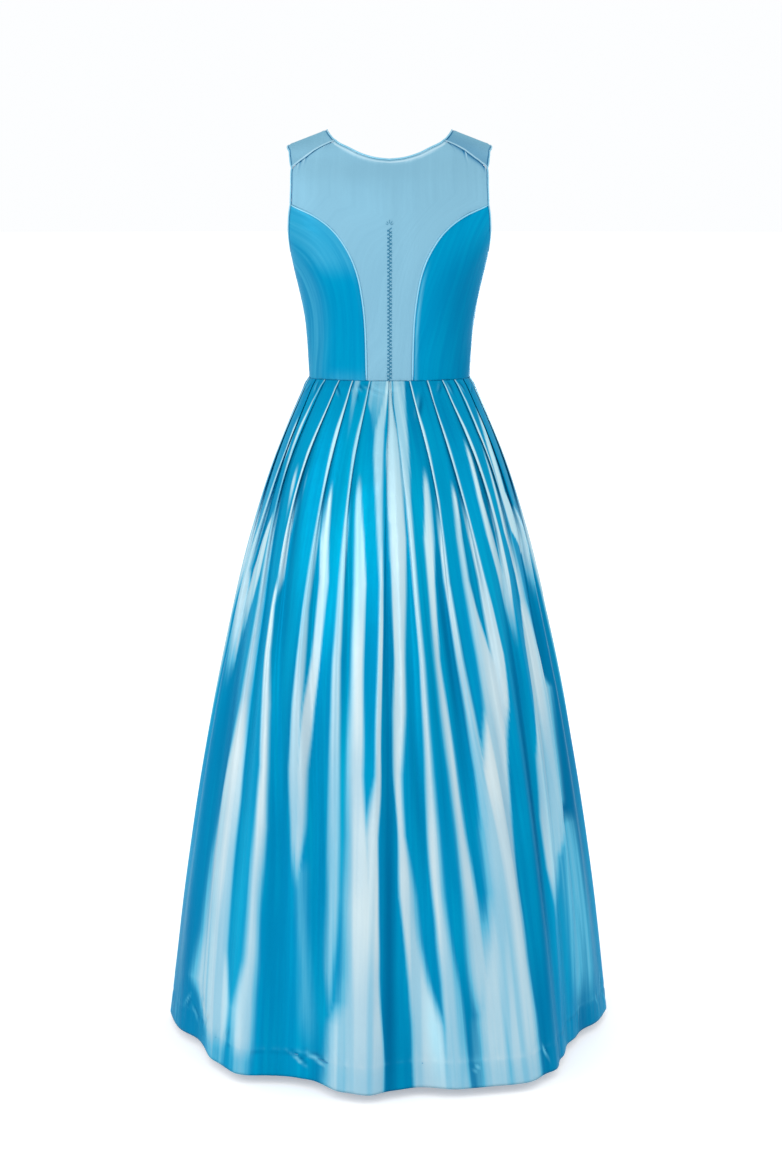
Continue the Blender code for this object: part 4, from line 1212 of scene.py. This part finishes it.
FIRST_HIDDEN_FOLD = 6  # from here on round the front the gleams are placed by rule
gleams = list(BACK_GLEAMS)
for word, side, folds in (("left", 1, LEFT_FOLDS), ("right", -1, RIGHT_FOLDS)):
    for number in range(FIRST_HIDDEN_FOLD, len(folds)):
        fold = folds[number]
        ends = 0.72 + 0.22 * math.sin(2.1 * number + side)
        gleams.append(along_fold(f"{word} fold {number}", fold, side, 0.0, ends, 0.7, 1.3))
        if number + 1 < len(folds):
            following = folds[number + 1]
            between = Fold(*[0.62 * a + 0.38 * b for a, b in zip(fold, following)])
            starts = 0.16 + 0.05 * math.sin(3.3 * number)
            gleams.append(along_fold(f"{word} flute {number}", between, side, starts, ends + 0.1, 1.0, 1.0))
for turn, starts, spread in ((158.0, 0.10, 2.6), (171.0, 0.25, 1.6), (-164.0, 0.05, 3.0), (-176.0, 0.35, 1.5)):
    plain = Fold(turn, turn, turn, turn + math.copysign(3, turn), turn + math.copysign(4, turn), 1.0)
    side = 1 if turn > 0 else -1
    turned = Fold(*[abs(value) for value in plain])
    gleams.append(along_fold(f"plain front {turn:.0f}", turned, side, starts, 0.9, spread, spread))
print(len(gleams), "gleams round the skirt")

# %% [markdown]
# ## Laying the painted highlights on the cloth
#
# At each row a gleam, a painted highlight, is a stretch of turns with soft edges, softer towards the hem.
# It fades in and out at the ends of its course. What lies under another fold gets none. Between the gleams
# the blue isn't even either: patches of painted light make it clearer, and patches of painted shade make it
# deeper and take a little off the gleams as well. The troughs of the pleats are painted darker as shade.

# %% Patches of painted light and painted shade
PaintedTone = namedtuple("PaintedTone", "turn down wide long lean amount")  # amount is above 0 for painted light, below for painted shade
PAINTED_TONES = rows_of(
    PaintedTone, (14, 0.2, 6, 0.12, 0, 0.7), (31, 0.24, 7, 0.1, 0, 0.4), (44.5, 0.74, 3.4, 0.26, -6, 0.8),
    (12.6, 0.52, 1.4, 0.16, 0, 0.9), (17, 0.88, 4.5, 0.16, 0, 0.4), (-11.5, 0.93, 2, 0.06, -20, 0.9),
    (-10.5, 0.22, 2.4, 0.1, -4, 0.5), (-57, 0.82, 4.5, 0.14, 0, 0.5), (-11, 0.05, 3.5, 0.07, -20, -0.2),
    (-34, 0.07, 8, 0.07, -20, -0.15), (0, 0.75, 1.6, 0.3, 0, -0.55), (-8, 0.6, 1.6, 0.12, -10, -0.5),
    (-23, 0.42, 2.2, 0.14, -20, -0.55), (-44.5, 0.66, 3.2, 0.26, 4, -0.75), (-19.5, 0.4, 1.2, 0.16, -20, -0.45),
    (-13, 0.45, 1, 0.2, -12, -0.4), (32, 0.45, 2, 0.2, 0, -0.25), (62, 0.6, 4, 0.25, 0, -0.3),
    (-20, 0.97, 26, 0.14, 0, -0.55), (-29.5, 0.86, 2.5, 0.14, 0, -0.35), (-84, 0.6, 12, 0.25, 0, -0.25),
    (80, 0.9, 12, 0.12, 0, -0.25), (76, 0.75, 8, 0.4, 0, -0.35), (-78, 0.7, 10, 0.5, 0, -0.6),
)

# %% Painted highlights, painted shade and swells
GLEAM_FADE = 0.035
SWELL_HEIGHT = 0.0013
WIDENED, THINNED, WANDER = 0.55, 0.40, 0.35  # these and the next are in degrees
SOFT_AT_WAIST, SOFTER_BY_HEM = 0.35, 2.6
HEM_FADE_STARTS, HEM_FADE_RUN = 0.945, 0.04  # the lowest stretch dulls the gleams

either_way = (turns + 180) % 360 - 180
rows_down = down[:, None]
step = np.abs(np.gradient(turns, axis=1))  # a soft edge needs at least two points across it
widened = WIDENED * ramp((rows_down - 0.03) / 0.07) * (1 - ramp(rows_down / 0.35)) * np.sign(either_way)
thinned = THINNED * (1 - ramp(rows_down / 0.09))  # the lines are finest where the pleats are caught
wander = WANDER * uneven(rows_down / 0.19 + either_way / 13.0, 0.7) * rows_down
painted_highlight = np.zeros_like(turns)
swell = np.zeros_like(turns)
for item in gleams:
    at, low, high = np.array(item.course).T
    low, high = np.interp(down, at, low)[:, None], np.interp(down, at, high)[:, None]
    fade_in = 1.0 if at[0] <= 0 else ramp((rows_down - at[0]) / GLEAM_FADE + 0.5)
    fade_out = 1.0 if at[-1] >= 1 else ramp((at[-1] - rows_down) / (3 * GLEAM_FADE) + 0.3)
    low, high = low + np.minimum(widened, 0), high + np.maximum(widened, 0)
    if item.swell == 1:
        low, high = low + thinned, high - thinned
    soft = np.minimum(0.8 * (high - low), SOFT_AT_WAIST + SOFTER_BY_HEM * rows_down)
    soft_low, soft_high = (np.maximum(soft * factor, 1.8 * step) for factor in item.softness)
    spot = either_way + wander
    strength = np.interp(rows_down, (at[0], at[-1]), item.strength)
    shape = ramp((spot - low) / soft_low + 0.5) * ramp((high - spot) / soft_high + 0.5) * fade_in * fade_out
    painted_highlight = np.maximum(painted_highlight, shape * strength)
    middle, half_width = (low + high) / 2, (high - low) / 2
    rises = item.swell * SWELL_HEIGHT * np.sqrt(half_width) * ramp(rows_down / 0.12)
    swell = np.maximum(swell, rises * bell((either_way - middle) / (half_width + 0.8)) * fade_in * fade_out)
painted_highlight = painted_highlight * (1 - under)
deepest = np.maximum(depth, 0.002)[:, None]
# painted shade in the pleats' troughs and on cloth that lies under another fold
painted_shade = ramp(-rise / deepest) ** 3 * (0.18 + 0.10 * closed[:, None]) * (1 - painted_highlight)
painted_shade = np.maximum(painted_shade, 0.25 * under * ramp(-rise / deepest / 0.5))
# painted light: a broad band a fifth of the way down, and icy on the painted highlights by the waist
painted_light = 0.22 * bell((rows_down - 0.20) / 0.16) * np.ones_like(turns)
painted_shade_patches = np.zeros_like(turns)
for tone in PAINTED_TONES:
    patch_of_it = bell((either_way - tone.turn - tone.lean * (rows_down - tone.down)) / tone.wide)
    patch_of_it = tone.amount * patch_of_it * bell((rows_down - tone.down) / tone.long)
    painted_light = painted_light + np.maximum(patch_of_it, 0)
    painted_shade_patches = painted_shade_patches + np.maximum(-patch_of_it, 0)
painted_shade = painted_shade + painted_shade_patches
painted_highlight = painted_highlight * (1 - 0.35 * painted_shade_patches)
by_hem = ramp((rows_down - HEM_FADE_STARTS) / HEM_FADE_RUN)
painted_highlight = painted_highlight * (1 - (0.12 + 0.45 * ramp((either_way - 15) / 15)) * by_hem)  # painted highlights dulled by the hem, more on the left
painted_light = painted_light * (1 - painted_shade) + 0.5 * bell(rows_down / 0.12) * painted_highlight
print("share of the skirt that gleams:", round(float(painted_highlight.mean()), 2))

# %% [markdown]
# ## Small creases at the waist and the hem
#
# Where the pleats are caught in the waist seam the cloth is drawn into short slanting creases. The hem is
# turned up by almost four centimetres and pressed, which prints a fine line through to the right side, and
# handling leaves slanting dents there. Each is a soft trough with a ridge beside it, listed one by one on
# the back and placed by an uneven wave on the rest.

# %% Creases
SKIRT_LENGTH = WAIST_HEIGHT - HEM_HEIGHT
HEM_DEPTH = 0.038

Crease = namedtuple("Crease", "turn down length lean width depth")
CREASES = rows_of(  # length and width in metres, lean in degrees from upright
    Crease, (9.6, 0.008, 0.02, 62, 0.002, 0.0012), (7, 0.012, 0.024, 70, 0.0018, 0.001),
    (19.5, 0.014, 0.026, 20, 0.0022, 0.0013), (21.5, 0.01, 0.02, 12, 0.0018, 0.001),
    (17.6, 0.006, 0.016, 48, 0.0018, 0.001), (-3.4, 0.012, 0.022, -58, 0.0022, 0.0008),
    (-7.2, 0.018, 0.028, -20, 0.0024, 0.0007), (-16.6, 0.035, 0.034, -14, 0.003, 0.0007),
    (33, 0.012, 0.018, 36, 0.002, 0.0007), (-33, 0.01, 0.018, -30, 0.002, 0.0006),
    (61, 0.935, 0.06, 58, 0.004, 0.0022), (56, 0.95, 0.05, -48, 0.0036, 0.0018),
    (50, 0.962, 0.046, -30, 0.0032, 0.0015), (45, 0.955, 0.04, -34, 0.003, 0.0014),
    (24, 0.968, 0.034, 60, 0.003, 0.001), (18, 0.962, 0.05, 76, 0.0036, 0.0013),
    (11.5, 0.955, 0.036, 40, 0.0028, 0.001), (-8, 0.966, 0.03, -36, 0.0028, 0.0012),
    (-14.5, 0.958, 0.036, 28, 0.003, 0.0012), (-22, 0.972, 0.03, -50, 0.0026, 0.001),
    (-36, 0.955, 0.04, -40, 0.0032, 0.0012), (-41, 0.966, 0.034, 25, 0.0028, 0.001),
)
for number in range(30):  # round the hem, where none are placed by hand
    turn = 68 + number * 7.6 + 3.6 * math.sin(5.1 * number)
    low_down = 0.960 + 0.018 * math.sin(3.7 * number)
    lean = 55 * math.sin(2.9 * number + 1)
    CREASES.append(Crease((turn + 180) % 360 - 180, low_down, 0.034, lean, 0.0034, 0.0008))
waist_turns = [fold.waist + 5.5 for fold in LEFT_FOLDS[4:]] + [-fold.waist - 5.5 for fold in RIGHT_FOLDS[3:]]
for number, turn in enumerate(waist_turns):
    high_up = 0.010 + 0.004 * math.sin(2.3 * number)
    CREASES.append(Crease(turn, high_up, 0.020, 50 * math.sin(4.0 * number), 0.0022, 0.0007))

plain = skirt_surface(turns, np.broadcast_to(rows_down, turns.shape))
reach = np.linalg.norm(np.gradient(plain[..., :2], axis=1), axis=-1)
degree = np.median(reach / np.maximum(step, 1e-6), axis=1)[:, None]  # metres to a degree at each row
dents = np.zeros_like(turns)
for crease in CREASES:
    beside = (either_way - crease.turn) * degree
    beyond = (crease.down - rows_down) * SKIRT_LENGTH
    lean = math.radians(crease.lean)
    off = beside * math.cos(lean) - beyond * math.sin(lean)
    on = beside * math.sin(lean) + beyond * math.cos(lean)
    ends = bell(2 * on / crease.length)
    dents -= crease.depth * bell(off / crease.width) * ends
    dents += 0.7 * crease.depth * bell((off - 2 * crease.width) / crease.width) * ends
    # painted highlight on each crease's ridge, painted shade in its trough
    ridge = bell((off - 1.8 * crease.width) / crease.width) * ends * (1 - under)
    painted_highlight = np.maximum(painted_highlight, min(0.55, crease.depth / 0.0030) * ridge)
    painted_shade = np.maximum(painted_shade, 0.75 * bell(off / crease.width) * ends)
from_hem = (1 - rows_down) * SKIRT_LENGTH
# the pressed hem line: a real dent, with painted shade in it and a painted highlight above it
hem_line = bell((from_hem - HEM_DEPTH - 0.0010 * uneven(either_way / 4.0)) / 0.0022)
dents -= 0.0007 * hem_line
dents += 0.0006 * uneven(either_way / 2.6, 1.2) * bell((from_hem - 0.028) / 0.02)
painted_shade = np.maximum(painted_shade, 0.35 * hem_line)
above_line = bell((from_hem - HEM_DEPTH - 0.006) / 0.004) * (0.5 + 0.5 * uneven(either_way / 3.0))
painted_highlight = np.clip(painted_highlight + 0.10 * above_line, 0, 1)
# a real swell below the waist seam, with painted shade in the seam itself
from_waist = rows_down * SKIRT_LENGTH
dents += 0.0012 * bell((from_waist - 0.008) / 0.007) * (1 - under)
painted_shade = np.maximum(painted_shade, 0.05 * bell(from_waist / 0.0016))
out = rise + swell + dents
print(len(CREASES), "creases")

# %% [markdown]
# ## The three widths of the skirt
#
# The skirt is sewn from a back width and two front ones, with seams at the sides and at the centre front.
# At the bottom the cloth turns in round a soft edge and runs up inside as the hem.

# %% Skirt pieces
Turning = namedtuple("Turning", "inwards upwards")
HEM_TURNING = rows_of(  # from the free edge of the hem down and round to the outside
    Turning, (0.002, HEM_DEPTH), (0.0021, 0.024), (0.002, 0.012), (0.0019, 0.004), (0.0017, 0.001),
    (0.0012, 0.0001), (0.0005, 0.0001),
)

TUCK_IN, TUCK_UP = 0.0009, 0.0016  # how the top edge goes into the waist seam

outside = skirt_surface(turns, np.broadcast_to(rows_down, turns.shape), out)[::-1]
tucked_in = outside[-1] - TUCK_IN * unit(outside[-1] * (1, 1, 0)) + (0, 0, TUCK_UP)
edge = outside[0]
inwards = -unit(edge * (1, 1, 0))
upwards = unit(outside[6] - outside[0])
inner_rows = [edge + row.inwards * inwards + row.upwards * upwards for row in HEM_TURNING]
whole = np.concatenate([np.stack(inner_rows), outside, tucked_in[None]], axis=0)
turned_up = np.zeros((len(HEM_TURNING), turns.shape[1]))
# the hem's inside is painted in shade; the outside carries the skirt's painted highlight, shade and light
looks = {"painted_highlight": (0.0, painted_highlight), "painted_shade": (0.3, painted_shade), "painted_light": (0.0, painted_light)}
looks = {key: np.concatenate([turned_up + inside, seen[::-1], seen[:1]]) for key, (inside, seen) in looks.items()}
widths = {
    "skirt_back": np.r_[seams["right"] : turns.shape[1], 0 : seams["left"] + 1],
    "skirt_front_left": np.r_[seams["left"] : seams["front"] + 1],
    "skirt_front_right": np.r_[seams["front"] : seams["right"] + 1],
}
for node, part in widths.items():
    points = whole[:, part]
    values = {key: seen[:, part] for key, seen in looks.items()}
    name = node.replace("skirt", "skirt_width")
    add_cloth(name, points, np.zeros(points.shape[:2]), values, satin_blue, node, straight_grain=True)

# %% [markdown]
# ## Floor, light and surroundings
#
# The dress stands filled out just above a plain pale floor. Satin needs large soft lights to show its
# folds: a tall one beside the camera, a wide one on the wearer's left, a weaker one on the right and one
# for the front. Pale surroundings fill in the rest.

# %% Studio
FLOOR_HEIGHT = HEM_HEIGHT - 0.014
FLOOR_RADIUS = 60.0
FLOOR_SIDES = 96

around = np.linspace(0, 2 * math.pi, FLOOR_SIDES, endpoint=False)
rim = [(FLOOR_RADIUS * math.cos(turn), FLOOR_RADIUS * math.sin(turn), FLOOR_HEIGHT) for turn in around]
floor_mesh = bpy.data.meshes.new("floor")
floor_mesh.from_pydata(rim, [], [list(range(FLOOR_SIDES))])
floor = put_in_scene("floor", floor_mesh)
paper = Finish("floor_paper")
paper.set(
    base_color=(0.80, 0.81, 0.82, 1.0),
    roughness=0.9,
    specular_ior_level=0.1,
    emission_color=(0.97, 0.98, 1.0, 1.0),
    emission_strength=0.40,
)
floor_mesh.materials.append(paper.material)

Light = namedtuple("Light", "name place width height watts")
LIGHTS = (
    Light("tall_light_by_camera", (0.8, 4.0, 0.9), 0.8, 2.2, 22.0),
    Light("wide_light_left", (3.2, 1.6, 0.4), 1.4, 2.4, 22.0),
    Light("light_right", (-3.2, 1.2, 0.4), 1.0, 2.4, 7.0),
    Light("light_for_front", (-0.8, -4.0, -0.65), 1.0, 1.5, 26.0),
)
AIM = np.array((0.0, 0.0, -0.75))  # the middle of the dress

for light in LIGHTS:
    lamp = bpy.data.lights.new(light.name, "AREA")
    lamp.shape = "RECTANGLE"
    lamp.size, lamp.size_y = light.width, light.height
    lamp.energy = light.watts
    holder = put_in_scene(light.name, lamp)
    holder.location = light.place
    x, y, z = AIM - np.array(light.place)
    holder.rotation_euler = (math.atan2(math.hypot(x, y), -z), 0.0, math.atan2(y, x) - math.pi / 2)

world = bpy.data.worlds.new("pale_room")
world.use_nodes = True
sky = world.node_tree.nodes["Background"]
sky.inputs["Color"].default_value = (0.98, 0.99, 1.0, 1.0)
sky.inputs["Strength"].default_value = 1.0
bpy.context.scene.world = world
bpy.context.scene.view_settings.view_transform = "Standard"
print("lights:", ", ".join(f"{light.name} {light.watts:.0f} W" for light in LIGHTS))

# %% [markdown]
# ## What the cloth was cut to
#
# Each sheet is declared with the flat size of what shows of it. A cut sheet is given by its piece, the width
# and length of its flat size, its own area, because a panel with curved edges fills only part of its
# rectangle, how it is held and what it rests on. The skirt's widths were flat rectangles before they were
# pleated.

# %% The record of a cut sheet
Cut = namedtuple("Cut", "piece width length area held rests_on")
